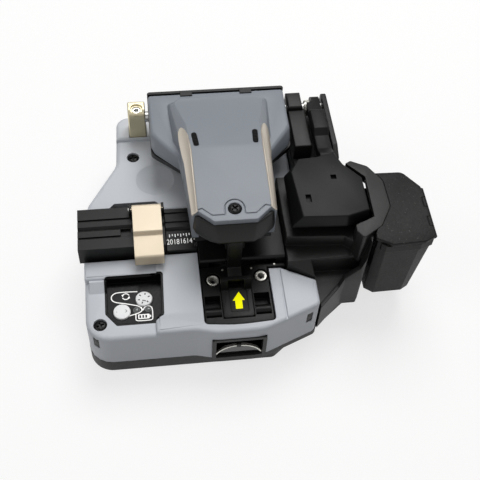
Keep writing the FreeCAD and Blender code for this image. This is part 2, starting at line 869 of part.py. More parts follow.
def right_housing():
    low = [(28.5, -23.6), (28.6, -31.0)] + housing_edge[1:] + [
        (rear_cover_right + 0.3, tail_rear),
        (rear_cover_right + 0.3, 15.7),
        (housing_left, 15.7),
        (housing_left, -18.0),
    ]
    middle = [(housing_left, shelf_front), (44.6, shelf_front)] + [(housing_right, -14.0), (housing_right, 8.5, 1.5)] + \
        housing_edge[5:] + [
        (rear_cover_right + 0.3, tail_rear),
        (rear_cover_right + 0.3, 15.7),
        (housing_left, 15.7),
    ]
    upper = [(housing_left, ledge_front), (44.6, ledge_front), (housing_right, -6.0), (housing_right, 8.5, 1.5),
             (tail_right, 19.0, 3.0), (tail_right, 24.0), (rear_cover_right + 0.3, 24.0),
             (rear_cover_right + 0.3, 15.7), (housing_left, 15.7)]
    rear = [(tail_right, 23.5), (tail_right, tail_rear, 1.5), (rear_cover_right + 0.3, tail_rear),
            (rear_cover_right + 0.3, 23.5)]
    body = joined([prism(low, seam, pit_top), prism(middle, pit_top - 1, shelf_top),
                   prism(upper, shelf_top - 1, ledge_top), prism(rear, shelf_top - 1, rear_block_top)])
    # Tail wall that carries the shaft's end
    tail = side_prism([(18.8, ledge_top - 1), (18.8, hood_under - 2, 1.0), (24.0, 40.0, 2.0), (tail_rear, 40.0, 2.0),
                       (tail_rear, rear_block_top - 1), (24.0, rear_block_top - 1)], tail_right - 2.0, tail_right)
    # Side wall that rises to the hood
    wall_band = [(28.6, -31.0), (40.0, -21.8, 1.5), (45.0, -21.8, 1.0), (housing_right, -18.0, 1.5),
                 (housing_right, -15.0), (44.8, -16.0), (43.6, -19.6), (40.5, -19.6), (30.2, -28.0), (28.6, -28.8)]
    side = prism(wall_band, pit_top - 1, hood_under)
    slope = front_prism([(26.0, pit_top + 0.01), (29.0, pit_top + 0.01), (39.5, 23.0), (44.6, hood_under + 0.01),
                         (44.6, 50.0), (26.0, 50.0)], -40.0, -10.0)
    side = side.cut(slope)
    body = joined([body, tail, side])
    # Hood over the bin's mouth
    roof_ring = prism(hood_outline, hood_under, hood_top)
    roof_ring = roof_ring.cut(arm_clearance(hood_under - 1, hood_top + 1))
    skirt = prism(hood_outline, hood_skirt, hood_under + 0.5)
    skirt = skirt.cut(inset(hood_outline, 1.5, hood_skirt - 1, hood_top))
    skirt = skirt.cut(arm_clearance(hood_skirt - 1, hood_top))
    skirt = skirt.cut(block(30.0, 46.0, -14.2, 11.0, hood_skirt - 1, hood_top))
    front_post = prism([(41.5, -14.8), (44.0, -19.1, 1.0), (housing_right, -16.5), (housing_right, -12.6),
                        (44.0, -14.2)], shelf_top - 1, hood_under + 0.5)
    rear_post = prism([(42.4, 12.6), (44.4, 13.8, 1.0), (housing_right, 11.5), (housing_right, 8.3),
                       (44.6, 10.4)], shelf_top - 1, hood_under + 0.5)
    body = joined([body, roof_ring, skirt, front_post, rear_post])
    body = body.cut(block(bay_left, bay_right, -bay_half, bay_half, lower_roller_z - roller_radius - 1, ledge_top + 1))
    body = body.cut(block(bay_right - 1, housing_right + 1, -trough_half, trough_half, trough_floor, hood_skirt))
    body = body.cut(pin_y(-bay_half - 2.5, bay_half + 2.5, roller_x, lower_roller_z, journal_radius + running))
    body = body.cut(block(roller_x - journal_radius - running, roller_x + journal_radius + running,
                          -bay_half - 2.5, bay_half + 2.5, lower_roller_z, ledge_top + 1))
    for y in bin_pins:
        body = body.cut(pin_x(bin_left - 5.0, bin_left, y, bin_pin_z, bin_pin_radius + running))
    body = body.cut(pin_x(tail_right - 3, tail_right - 0.5, hinge_y, hinge_z, shaft_radius))
    return body.removeSplitter()


bin_pins = (-11.0, 3.0)
bin_pin_z = 15.0
bin_pin_radius = 1.5


def arm_clearance(low, high):
    outline = [(30.0, -15.4)] + arm_gap_outline + [(39.6, 19.5), (30.0, 19.5)]
    return prism(outline, low, high)


def arm_spring():
    """A close-wound torsion spring on the shaft, its turns lying against each other."""
    left = hinge_block_right_side + spring_wire + part_gap
    turns = []
    for turn in range(spring_turns):
        x = left + turn * (2 * spring_wire - running)
        turns.append(Part.makeTorus(spring_coil, spring_wire, V(x, hinge_y, hinge_z), V(1, 0, 0)))
    return joined(turns)


# ---- lever --------------------------------------------------------------
# Cross-sections of the lever's bridge: y, side half-width, side height, top half-width, top height
bridge_rings = [
    (44.0, 18.4, wing_top - 0.2, 18.0, wing_top + 0.1),
    (40.5, 18.2, wing_top, 17.4, bridge_top),
    (22.0, 17.2, wing_top, 15.0, shoulder_top),
]
arm_rings = [
    (22.0, 15.2, 50.6, 12.3, shoulder_top),
    (12.0, 14.4, 51.6, 11.8, crest_top),
    (arm_front, 13.3, 49.6, 11.6, nose_top),
]
trim_thick = 0.7
wing_plan = [
    (lever_half, lever_rear - 1.2, 1.5),
    (-lever_half, lever_rear - 1.2, 1.5),
    (-lever_half, 26.0, 3.0),
    (-15.0, 16.0, 2.0),
    (-15.0, 10.0),
    (15.0, 10.0),
    (15.0, 16.0, 2.0),
    (lever_half, 26.0, 3.0),
]


def bridge_ring(y, side, side_z, top, top_z, shrink, drop):
    return cross_ring(mirrored([
        (side - shrink, frame_top),
        (side - shrink, side_z - drop),
        (top - shrink, top_z - drop),
    ]), y)


def arm_ring(y, side, side_z, top, top_z, shrink, drop):
    return cross_ring(mirrored([
        (side - shrink, frame_top),
        (side - shrink, side_z - drop),
        (top - shrink * 0.8, top_z - drop),
    ]), y)


def lever_form(shrink, drop):
    bridge = loft([bridge_ring(*ring, shrink, drop) for ring in bridge_rings])
    arm = loft([arm_ring(*ring, shrink, drop) for ring in arm_rings])
    return joined([bridge, arm])


def lever_cover_form():
    wings = prism(wing_plan, frame_top, wing_top)
    wings = soft_top(wings, wing_top, 1.4)
    tip = prism([(-11.6, arm_front + 0.5), (-11.6, arm_front - 0.4), (-5.9, -16.3, 0.6), (5.9, -16.3, 0.6),
                 (11.6, arm_front - 0.4), (11.6, arm_front + 0.5)], nose_top - 2.0, nose_top)
    return joined([wings, lever_form(0, 0), tip])


insert_places = (-10.3, 10.3)
insert_y = 17.4


def insert_oval(x, low, high, grow):
    return prism([(x - 1.0 - grow, insert_y - 2.8 - grow, 0.99), (x + 1.0 + grow, insert_y - 2.8 - grow, 0.99),
                  (x + 1.0 + grow, insert_y + 2.8 + grow, 0.99), (x - 1.0 - grow, insert_y + 2.8 + grow, 0.99)], low, high)


lever_screw_y = -11.0 + 0.6
lever_screw_boss = 3.6


def lever_cover():
    body = lever_cover_form()
    inner_wings = inset(wing_plan, cover_wall, frame_top - 1, wing_top - cover_wall)
    inner = lever_form(cover_wall, cover_wall)
    body = body.cut(inner_wings).cut(inner)
    body = body.cut(block(-9.2, 9.2, arm_front - 1, arm_front + 4, frame_top - 1, nose_top - 2.0))
    for x in insert_places:
        body = body.cut(insert_oval(x, insert_floor, crest_top + 2, 0))
    body = body.cut(pin_x(-lever_half - 1, lever_half + 1, hinge_y, hinge_z, barrel_radius + seat_gap))
    body = body.cut(pin_z(nose_top - 5, nose_top + 3, 0, lever_screw_y, 1.25))
    body = body.cut(pin_z(nose_top - 0.9, nose_top + 3, 0, lever_screw_y, cover_screw_head + 0.1))
    return body.removeSplitter()


insert_floor = shoulder_top - 0.7


def lever_inserts():
    form = lever_cover_form()
    ovals = [insert_oval(x, insert_floor, crest_top + 2, 0).common(form) for x in insert_places]
    return group(ovals)


def lever_trim(side):
    rings = []
    for y, out, out_z, top, top_z in arm_rings:
        lift = trim_thick
        points = [(side * out, out_z), (side * top, top_z), (side * (top + 0.1), top_z + 0.15),
                  (side * (out + lift * 0.7), out_z + lift * 0.7)]
        rings.append(cross_ring(points, y))
    return loft(rings)


nose_bottom_plan = [(12.6, arm_front), (12.3, -14.0), (6.5, -19.2)]


def lever_frame():
    plan = [
        (lever_half, lever_rear, 1.5),
        (-lever_half, lever_rear, 1.5),
        (-lever_half, 26.0, 3.0),
        (-13.8, 16.0, 2.0),
        (-12.9, arm_front),
        (12.9, arm_front),
        (13.8, 16.0, 2.0),
        (lever_half, 26.0, 3.0),
    ]
    plate = prism(plan, lever_under, frame_top)
    back = prism([(lever_half, lever_rear, 1.0), (-lever_half, lever_rear, 1.0), (-lever_half, lever_rear - 1.15),
                  (lever_half, lever_rear - 1.15)], lever_under, wing_top)
    tabs = [block(left, left + 4.4, lever_rear - 3.0, lever_rear - 0.5, wing_top, wing_top + 0.5)
            for left in (-13.2, 8.8)]
    shelf = [block(left + 0.3, left + 4.1, lever_rear - 1.15, lever_rear - 0.6, wing_top - 1, wing_top + 0.2)
             for left in (-13.2, 8.8)]
    barrel = pin_x(-lever_half, lever_half, hinge_y, hinge_z, barrel_radius)
    nose = loft([
        plan_ring(mirrored([(12.9, arm_front), (12.6, -14.2), (6.4, -19.0)]), lever_under),
        plan_ring(mirrored([(12.9, arm_front), (12.4, -14.0), (6.2, -19.2)]), 44.0),
        plan_ring(mirrored([(11.6, arm_front), (11.5, -12.5), (5.9, -16.3)]), nose_top - 2.0),
    ])
    spine = block(-8.6, 8.6, arm_front - 1, 14.0, frame_top - 1, nose_top - 3.0)
    neck = block(-8.6, 8.6, arm_front - 1, arm_front + 3.5, frame_top - 1, nose_top - 2.0)
    crank = side_prism(crank_profile(), crank_left, crank_right)
    pin = pin_x(-yoke_half + 0.2, crank_left + 0.5, crank_y, crank_z, crank_pin_radius)
    body = joined([plate, back, barrel, nose, spine, neck, crank, pin] + tabs + shelf)
    body = body.cut(pin_x(-lever_half - 1, lever_half + 1, hinge_y, hinge_z, bore_radius))
    body = body.cut(pin_z(nose_top - 9.0, nose_top, 0, lever_screw_y, 1.25))
    return body.removeSplitter()


def crank_profile():
    """Outline of the crank in (y, z): a tapering arm from the barrel to the pin."""
    along = V(0, crank_y - hinge_y, crank_z - hinge_z).normalize()
    across = V(0, -along.z, along.y)
    pin_end = V(0, crank_y, crank_z)
    root = V(0, hinge_y, hinge_z) + along * (barrel_radius - 1.0)
    points = [root + across * 2.8, pin_end + across * 2.0 + along * 1.3, pin_end - across * 2.0 + along * 1.3,
              root - across * 2.8]
    radii = (0, 1.4, 1.4, 0)
    return [(point.y, point.z, radius) for point, radius in zip(points, radii)]


def lever_screw():
    head = pin_z(nose_top - 0.9, nose_top + 0.5, 0, lever_screw_y, cover_screw_head)
    shank = pin_z(nose_top - 8.0, nose_top - 0.9, 0, lever_screw_y, 1.1)
    cross = block(-0.35, 0.35, lever_screw_y - 1.3, lever_screw_y + 1.3, nose_top - 0.2, nose_top + 1)
    cross = cross.fuse(block(-1.3, 1.3, lever_screw_y - 0.35, lever_screw_y + 0.35, nose_top - 0.2, nose_top + 1))
    return joined([head, shank]).cut(cross)


def latch_hook():
    plate = block(-4.7, 4.7, -18.6, -14.4, 31.5, lever_under)
    shank = block(-2.1, 2.1, -18.0, -15.2, toe_under, 32.0)
    toe = side_prism([(-21.5, toe_under), (-15.2, toe_under), (-15.2, toe_top + 1.5), (-18.4, toe_top),
                      (-21.5, toe_top - 0.3)], -2.1, 2.1)
    return joined([plate, shank, toe])


def upper_clamps():
    low = fibre_height + 0.1 + pad_thick
    return group([block(side, side + clamp_outer - clamp_inner - 0.4, -clamp_half + 0.1, clamp_half - 0.1,
                        low, lever_under) for side in (-clamp_outer + 0.2, clamp_inner + 0.2)])


def upper_clamp_pads():
    low = fibre_height + 0.1
    return group([block(side, side + clamp_outer - clamp_inner - 0.4, -clamp_half + 0.1, clamp_half - 0.1,
                        low, low + pad_thick) for side in (-clamp_outer + 0.2, clamp_inner + 0.2)])


def anvil():
    tip = fibre_height + 0.6
    body = block(-0.8, 0.8, -2.0, 2.0, tip, lever_under)
    return body.makeChamfer(0.5, [edge for edge in edges_at(body, tip) if edge.BoundBox.YLength > 1])


# ---- blade carriage -----------------------------------------------------
def slider_block():
    carriage = block(-carriage_half, carriage_half, carriage_front, carriage_rear, carriage_under, carriage_top)
    ears = []
    for left, right, rear in ((-4.4, -1.0, blade_rest_y + 3.6), (2.8, 4.4, pinion_y + 3.0)):
        ears.append(side_prism([(blade_rest_y - 3.6, carriage_top - 1), (rear, carriage_top - 1),
                                (rear, axle_z + 3.5, 1.6), (blade_rest_y - 3.6, axle_z + 3.5, 2.4)], left, right))
    cradle = block(4.3, 13.4, pinion_y - 2.6, pinion_y + 2.6, carriage_top - 1.2, axle_z - motor_radius - 0.02)
    cradle_root = block(4.3, carriage_half, pinion_y - 2.6, pinion_y + 2.6, carriage_top - 3, carriage_top)
    tail = block(-yoke_half, yoke_half, carriage_rear - 1, yoke_front + 2.0, 11.0, carriage_top)
    yoke = block(-yoke_half, yoke_half, yoke_front, yoke_rear, 11.0, yoke_top)
    body = joined([carriage] + ears + [cradle, cradle_root, tail, yoke])
    body = body.cut(block(-yoke_half - 1, yoke_half + 1, crank_y - crank_pin_radius - yoke_gap,
                          crank_y + crank_pin_radius + yoke_gap, crank_low, yoke_top + 1))
    body = body.cut(block(-rail_half - running, rail_half + running, carriage_front - 1, carriage_rear + 1,
                          carriage_under - 1, rail_top + running))
    body = body.cut(block(-1.0, 1.0, blade_rest_y - blade_radius - 0.5, blade_rest_y + blade_radius + 0.5,
                          axle_z - blade_radius - 0.4, carriage_top + 0.001))
    body = body.cut(pin_x(-6, 6, blade_rest_y, axle_z, axle_radius))
    body = body.cut(pin_x(2, 5, pinion_y, axle_z, motor_shaft_radius + running))
    return body.removeSplitter()


motor_radius = 3.0
motor_shaft_radius = 0.8
yoke_front = crank_y - crank_pin_radius - yoke_gap - 1.6
yoke_rear = crank_y + crank_pin_radius + yoke_gap + 1.3
yoke_top = 30.2
crank_low = hinge_z - crank_radius - crank_pin_radius - 0.5


def blade_axle():
    return pin_x(-4.6, 4.6, blade_rest_y, axle_z, axle_radius)


def blade_wheel():
    half = blade_thick / 2
    profile = [V(-half, 0, blade_hub), V(-half, 0, blade_radius - 1.2), V(0, 0, blade_radius),
               V(half, 0, blade_radius - 1.2), V(half, 0, blade_hub), V(-half, 0, blade_hub)]
    disc = Part.Face(Part.makePolygon(profile)).revolve(V(0, 0, 0), V(1, 0, 0), 360)
    disc.translate(V(0, blade_rest_y, axle_z))
    return disc


def blade_gear():
    gear = gear_x(blade_teeth, blade_thick / 2, 2.4, blade_rest_y, axle_z, 0)
    return gear.cut(pin_x(0, 3, blade_rest_y, axle_z, blade_hub))


def motor_pinion():
    turn = math.pi + math.pi / pinion_teeth
    gear = gear_x(pinion_teeth, blade_thick / 2 + 0.2, 2.3, pinion_y, axle_z, turn)
    return joined([gear, pin_x(1.0, 7.0, pinion_y, axle_z, motor_shaft_radius)])


def blade_motor():
    can = pin_x(4.4, 13.4, pinion_y, axle_z, motor_radius)
    can = can.cut(pin_x(4.0, 7.4, pinion_y, axle_z, motor_shaft_radius + running))
    return can


# ---- fibre holder -------------------------------------------------------
flap_left = -33.4
flap_right = -23.4
flap_pin_y = 5.6
flap_pin_z = 32.4
flap_pin_radius = 0.7
flap_top = 34.0


def adapter_block():
    body = block(adapter_left, adapter_right, -adapter_half, adapter_half, deck_floor, adapter_top)
    body = body.cut(block(adapter_left - 1, case_left + 0.8, -adapter_half - 1, adapter_half + 1,
                          deck_floor - 1, deck_floor + 0.6))
    groove = side_prism([(-1.0, adapter_top + 0.1), (0, fibre_height - 0.1), (1.0, adapter_top + 0.1)],
                        adapter_left - 1, adapter_right + 1)
    body = body.cut(groove)
    for front, rear in ((-4.2, -3.4), (3.2, 4.0)):
        body = body.cut(block(adapter_left - 1, flap_left - 1.0, front, rear, adapter_top - 0.6, adapter_top + 1))
    body = body.cut(block(flap_left - 4.4, flap_left - 0.8, -3.4, -0.8, adapter_top - 1.2, adapter_top + 1))
    ears = []
    for left in (flap_left - 1.1, flap_right + 0.1):
        ears.append(side_prism([(flap_pin_y - 1.6, adapter_top - 0.5), (flap_pin_y + 2.0, adapter_top - 0.5),
                                (flap_pin_y + 2.0, flap_pin_z + 1.5, 1.2), (flap_pin_y - 1.6, flap_pin_z + 1.5, 1.2)],
                               left, left + 0.95))
    body = joined([body] + ears)
    return body.cut(pin_x(flap_left - 2, adapter_right + 2, flap_pin_y, flap_pin_z, flap_pin_radius))


def clamp_flap():
    profile = [
        (flap_pin_y + 0.2, adapter_top + 0.35),
        (flap_pin_y + 1.4, adapter_top + 0.9),
        (flap_pin_y + 1.4, flap_top, 1.2),
        (-5.0, flap_top, 0.4),
        (-5.6, flap_top - 1.7, 0.3),
        (-13.6, flap_top - 3.0, 0.8),
        (-14.2, hump_top + 1.6, 0.3),
        (-12.9, hump_top + 1.6, 0.3),
        (-12.4, flap_top - 4.8, 0.5),
        (-adapter_half - 0.6, adapter_top + 0.35, 0.3),
    ]
    body = side_prism(profile, flap_left, flap_right)
    body = body.cut(block(flap_left - 1, flap_right + 1, -3.2, 3.2, adapter_top, adapter_top + 0.9))
    return body.cut(pin_x(flap_left - 1, flap_right + 1, flap_pin_y, flap_pin_z, flap_pin_radius + running))


def clamp_pin():
    return pin_x(flap_left - 1.4, flap_right + 1.1, flap_pin_y, flap_pin_z, flap_pin_radius)


def clamp_pad():
    return block(flap_left + 1, flap_right - 1, -2.8, 2.8, adapter_top + 0.1, adapter_top + 0.9)


# ---- collector ----------------------------------------------------------
arm_foot = [
    (23.0, 14.6), (18.9, 8.6), (18.7, -14.4), (38.9, -14.8), (46.6, -10.3),
    (46.9, 5.9), (41.4, 10.7), (38.2, 18.2), (33.6, 18.2),
]
arm_face = [
    (25.2, 13.4), (23.0, 8.0), (22.8, -10.6), (38.2, -11.0), (45.9, -8.2),
    (46.2, 5.5), (40.9, 10.0), (38.0, 17.6), (33.8, 17.6),
]
neck_left = 33.7
neck_right = 39.0


def shrunk(points, amount):
    """Draw a convex outline in towards its middle."""
    centre_x = sum(x for x, y in points) / len(points)
    centre_y = sum(y for x, y in points) / len(points)
    drawn = []
    for x, y in points:
        reach = math.hypot(x - centre_x, y - centre_y)
        share = (reach - amount) / reach
        drawn.append((centre_x + (x - centre_x) * share, centre_y + (y - centre_y) * share))
    return drawn


def arm_cover():
    shell = loft([plan_ring(arm_foot, arm_base), plan_ring(arm_foot, arm_base + 1.2), plan_ring(arm_face, arm_top)])
    inner = loft([plan_ring(shrunk(arm_foot, 2.2), arm_base - 1), plan_ring(shrunk(arm_face, 2.0), arm_top - 1.8)])
    shell = shell.cut(inner)
    neck_profile = [
        (16.4, arm_base), (16.4, arm_top - 0.2), (17.6, arm_top - 0.2, 1.0), (20.0, 42.0, 3.0), (27.0, 41.6, 1.0),
        (29.0, 43.6, 1.2), (35.5, 43.6, 1.2), (37.5, 40.4, 1.0), (hinge_y + 2.0, 40.0, 2.0),
        (hinge_y + 3.8, hinge_z, 1.0), (hinge_y, hinge_z - 1.0), (38.0, arm_base, 2.0),
    ]
    neck = side_prism(neck_profile, neck_left, neck_right)
    neck = neck.cut(pin_x(neck_left - 1, spring_right, hinge_y, hinge_z, barrel_radius + 0.4))
    knuckle = pin_x(spring_right, neck_right, hinge_y, hinge_z, barrel_radius)
    cheeks = [cheek(y) for y in (-roller_half - cheek_gap - cheek_thick, roller_half + cheek_gap)]
    body = joined([shell, neck, knuckle] + cheeks)
    body = body.cut(pin_x(neck_left - 1, neck_right + 1, hinge_y, hinge_z, bore_radius))
    body = body.cut(pin_y(-bay_half - 1, bay_half + 1, roller_x, upper_roller_z, journal_radius + running))
    for x, y, wide, deep in ((36.7, 5.3, 1.3, 1.3), (26.5, -3.2, 1.6, 2.2)):
        body = body.cut(block(x - wide / 2, x + wide / 2, y - deep / 2, y + deep / 2, arm_top - 3, arm_top + 1))
    return body.removeSplitter()


spring_right = 35.9


cheek_gap = 0.2
cheek_thick = 0.8


def cheek(front):
    return block(roller_x - 2.6, roller_x + 2.6, front, front + cheek_thick, upper_roller_z - 2.4, arm_top - 1.0)


def roller(height, reach):
    tyre = pin_y(-roller_half, roller_half, roller_x, height, roller_radius)
    tyre = tyre.makeChamfer(0.4, [edge for edge in tyre.Edges if isinstance(edge.Curve, Part.Circle)])
    return joined([tyre, pin_y(-reach, reach, roller_x, height, journal_radius)])


def drive_roller():
    return roller(lower_roller_z, bay_half + 2.2)


def idler_roller():
    return roller(upper_roller_z, roller_half + cheek_gap + cheek_thick)


# ---- scrap bin ----------------------------------------------------------
bin_top_plan = [(bin_left + 0.2, -20.4), (50.2, -22.7), (62.0, -22.5), (66.4, -20.9), (66.6, 0.2), (61.0, 6.8),
                (53.0, 7.0), (bin_left + 0.2, 7.0)]
bin_foot_plan = [(bin_left + 0.8, -18.4), (51.2, -20.6), (61.6, -20.4), (64.4, -18.8), (64.6, -1.0), (59.6, 5.0),
                 (53.0, 5.4), (bin_left + 0.8, 5.4)]


def bin_body():
    outer = loft([plan_ring(bin_foot_plan, bin_bottom), plan_ring(bin_top_plan, bin_rim)])
    rim = loft([plan_ring(shrunk(bin_top_plan, -0.35), bin_rim - 3.2), plan_ring(shrunk(bin_top_plan, -0.35), bin_rim)])
    rim = rim.cut(block(0, bin_left + 1.2, -50, 50, 0, 60))
    inner = loft([plan_ring(shrunk(bin_foot_plan, bin_wall), bin_bottom + bin_wall),
                  plan_ring(shrunk(bin_top_plan, bin_wall), bin_rim + 0.01)])
    body = joined([outer, rim]).cut(inner)
    notch = inset(hood_outline, -part_gap - 0.2, hood_skirt - part_gap, bin_rim + 1)
    body = body.cut(notch)
    body = body.cut(block(bin_left - 1, 50.4, -13.5, 9.0, hood_skirt - part_gap, bin_rim + 1))
    body = body.cut(block(bin_left - 1, bin_left + 3, -trough_half, trough_half, trough_floor, hood_skirt))
    for low, high in lid_knuckles_of_bin:
        body = body.fuse(pin_y(low, high, lid_axis_x, lid_axis_z, lid_knuckle))
        web = block(lid_axis_x - 0.9, lid_axis_x + 0.4, low, high, bin_rim - 2.4, lid_axis_z - 0.2)
        body = body.fuse(web)
    clear = [pin_y(low - 0.15, high + 0.15, lid_axis_x, lid_axis_z, lid_knuckle + 0.2) for low, high in lid_knuckles_of_lid]
    body = body.cut(clear[0]).cut(clear[1]).cut(clear[2])
    body = body.cut(pin_y(-30, 10, lid_axis_x, lid_axis_z, lid_pin_radius))
    for y in bin_pins:
        body = body.fuse(pin_x(bin_left - 4.2, bin_left + 1.8, y, bin_pin_z, bin_pin_radius))
    return body


knuckle_length = 3.8
lid_knuckles_of_lid = [(-20.6 + 8.2 * k, -20.6 + 8.2 * k + knuckle_length) for k in range(3)]
lid_knuckles_of_bin = [(-16.5 + 8.2 * k, -16.5 + 8.2 * k + knuckle_length) for k in range(2)]
lid_pin_radius = 0.5


def bin_lid():
    outline = [
        (53.3, 7.4, 1.0),
        (61.2, 7.2, 4.0),
        (lid_axis_x + 0.2, 0.3, 1.5),
        (lid_axis_x + 0.2, -21.0, 1.0),
        (62.1, -22.9, 2.0),
        (50.1, -23.1, 2.0),
        (47.7, -20.4, 0.8),
        (50.2, -14.2, 1.0),
        (54.5, -7.0, 4.0),
    ]
    plate = prism(outline, lid_top - lid_thick, lid_top)
    plate = plate.cut(inset(hood_outline, -part_gap - 0.1, lid_top - 3, lid_top + 1))
    body = plate
    for low, high in lid_knuckles_of_lid:
        body = body.fuse(pin_y(low, high, lid_axis_x, lid_axis_z, lid_knuckle))
    for low, high in lid_knuckles_of_bin:
        body = body.cut(pin_y(low - 0.15, high + 0.15, lid_axis_x, lid_axis_z, lid_knuckle + 0.2))
        body = body.cut(block(lid_axis_x - 0.2, lid_axis_x + 3, low - 0.15, high + 0.15, lid_axis_z - 2, lid_top + 1))
    return body.cut(pin_y(-30, 10, lid_axis_x, lid_axis_z, lid_pin_radius + running)).removeSplitter()


def bin_lid_pin():
    return pin_y(lid_knuckles_of_lid[0][0] + 0.2, lid_knuckles_of_lid[-1][1] - 0.2, lid_axis_x, lid_axis_z, lid_pin_radius)


# ---- write --------------------------------------------------------------
nodes = {
    "base_tray": base_tray(),
    "rubber_feet": rubber_feet(),
    "battery_cover": battery_cover(),
    "battery_cell": battery_cell(),
    "circuit_board": circuit_board(),
    "chassis": chassis(),
    "slide_rail": slide_rail(),
    "front_cover": front_cover(),
    "rear_cover": rear_cover(),
    "cover_screws": cover_screws(),
    "holder_deck": holder_deck(),
    "holder_magnets": holder_magnets(),
    "clamp_base": clamp_base(),
    "lower_clamps": lower_clamps(),
    "lower_clamp_pads": lower_clamp_pads(),
    "front_deck": front_deck(),
    "deck_screws": deck_screws(),
    "latch_slide": latch_slide(),
    "panel_bezel": panel_bezel(),
    "turn_button": panel_button(turn_button),
    "link_button": panel_button(link_button),
    "status_leds": status_leds(),
    "window_bezel": window_bezel(),
    "window_arch": window_arch(),
    "window_rim": window_rim(),
    "hinge_bracket": hinge_bracket(),
    "hinge_set_screw": hinge_set_screw(),
    "hinge_shaft": hinge_shaft(),
    "hinge_block": hinge_block(),
    "right_housing": right_housing(),
    "arm_spring": arm_spring(),
    "lever_cover": lever_cover(),
    "lever_frame": lever_frame(),
    "lever_trim_left": lever_trim(-1),
    "lever_trim_right": lever_trim(1),
    "lever_inserts": lever_inserts(),
    "lever_screw": lever_screw(),
    "latch_hook": latch_hook(),
    "upper_clamps": upper_clamps(),
    "upper_clamp_pads": upper_clamp_pads(),
    "anvil": anvil(),
    "slider_block": slider_block(),
    "blade_axle": blade_axle(),
    "blade_motor": blade_motor(),
    "blade_wheel": blade_wheel(),
    "blade_gear": blade_gear(),
    "motor_pinion": motor_pinion(),
    "adapter_block": adapter_block(),
    "clamp_flap": clamp_flap(),
    "clamp_pin": clamp_pin(),
    "clamp_pad": clamp_pad(),
    "arm_cover": arm_cover(),
    "drive_roller": drive_roller(),
    "idler_roller": idler_roller(),
    "bin_body": bin_body(),
    "bin_lid": bin_lid(),
    "bin_lid_pin": bin_lid_pin(),
}

# The finished part stands with the middle of its footprint at the origin
os.makedirs("parts", exist_ok=True)
left_end = adapter_left
right_end = lid_axis_x + lid_knuckle
front_end = bulge_front - 0.35
rear_end = case_rear
middle = V(-(left_end + right_end) / 2, -(front_end + rear_end) / 2, 0)
for name, shape in nodes.items():
    placed = shape.copy()
    placed.translate(middle)
    placed.exportStep("parts/" + name + ".step")
    box = placed.BoundBox
    print("%-18s solids %d valid %s vol %8.1f  x %6.1f %6.1f y %6.1f %6.1f z %5.1f %5.1f" % (
        name, len(placed.Solids), placed.isValid(), placed.Volume,
        box.XMin, box.XMax, box.YMin, box.YMax, box.ZMin, box.ZMax))
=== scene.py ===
# Bench cleaver for optical fibre: finishes, screws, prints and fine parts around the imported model.
# Lengths are millimetres from the blade's plane, the fibre's line and the bench.
import math

import bmesh
import bpy
from mathutils import Matrix, Vector


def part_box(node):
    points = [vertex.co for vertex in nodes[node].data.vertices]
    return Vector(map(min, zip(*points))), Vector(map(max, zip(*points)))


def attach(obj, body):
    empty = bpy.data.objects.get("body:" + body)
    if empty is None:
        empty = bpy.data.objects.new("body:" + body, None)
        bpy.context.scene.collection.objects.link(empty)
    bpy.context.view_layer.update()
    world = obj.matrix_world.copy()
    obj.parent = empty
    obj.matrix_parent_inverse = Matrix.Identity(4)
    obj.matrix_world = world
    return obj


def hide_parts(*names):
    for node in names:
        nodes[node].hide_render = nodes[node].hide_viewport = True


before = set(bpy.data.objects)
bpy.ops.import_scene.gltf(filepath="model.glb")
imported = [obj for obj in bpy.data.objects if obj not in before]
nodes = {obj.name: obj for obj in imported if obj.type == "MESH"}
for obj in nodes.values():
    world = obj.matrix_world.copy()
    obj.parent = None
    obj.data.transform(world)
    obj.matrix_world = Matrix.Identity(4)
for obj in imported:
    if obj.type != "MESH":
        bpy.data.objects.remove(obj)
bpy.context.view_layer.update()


millimetre = 0.001
wheelLow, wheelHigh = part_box("blade_wheel")
magnetLow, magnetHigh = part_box("holder_magnets")
bladePlane = (wheelLow.x + wheelHigh.x) / 2
fibreLine = (magnetLow.y + magnetHigh.y) / 2


def at(x, y, z):
    # A place in metres, from millimetres off the blade's plane, the fibre's line and the bench.
    return Vector((bladePlane + x * millimetre, fibreLine + y * millimetre, z * millimetre))


def millimetres(vector):
    return ((vector.x - bladePlane) / millimetre, (vector.y - fibreLine) / millimetre, vector.z / millimetre)


# Tools for shaping

def selectOnly(piece):
    bpy.ops.object.select_all(action="DESELECT")
    piece.select_set(True)
    bpy.context.view_layer.objects.active = piece


def applyModifiers(piece):
    selectOnly(piece)
    for modifier in list(piece.modifiers):
        bpy.ops.object.modifier_apply(modifier=modifier.name)


def settle(piece, name, material, body, replaced=(), smooth=30):
    # Fix a finished piece at the origin, give it its finish and let it ride.
    selectOnly(piece)
    bpy.ops.object.transform_apply(location=True, rotation=True, scale=True)
    applyModifiers(piece)
    piece.name = name
    piece.data.name = name
    piece.data.materials.clear()
    piece.data.materials.append(material)
    if smooth:
        bpy.ops.object.shade_smooth_by_angle(angle=math.radians(smooth))
    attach(piece, body)
    if replaced:
        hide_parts(*replaced)
    return piece


# Shader groups

def newGroup(name, inputs, outputs):
    group = bpy.data.node_groups.new(name, "ShaderNodeTree")
    for label, kind, value in inputs:
        socket = group.interface.new_socket(name=label, in_out="INPUT", socket_type=kind)
        if value is not None:
            socket.default_value = value
    for label, kind in outputs:
        group.interface.new_socket(name=label, in_out="OUTPUT", socket_type=kind)
    start = group.nodes.new("NodeGroupInput")
    end = group.nodes.new("NodeGroupOutput")
    return group, start, end


def addNode(tree, kind, settings=None, inputs=None):
    node = tree.nodes.new(kind)
    for key, value in (settings or {}).items():
        setattr(node, key, value)
    for key, value in (inputs or {}).items():
        socket = node.inputs[key]
        if isinstance(value, bpy.types.NodeSocket):
            tree.links.new(value, socket)
        else:
            socket.default_value = value
    return node


def objectCoordinates(tree):
    return addNode(tree, "ShaderNodeTexCoord").outputs["Object"]


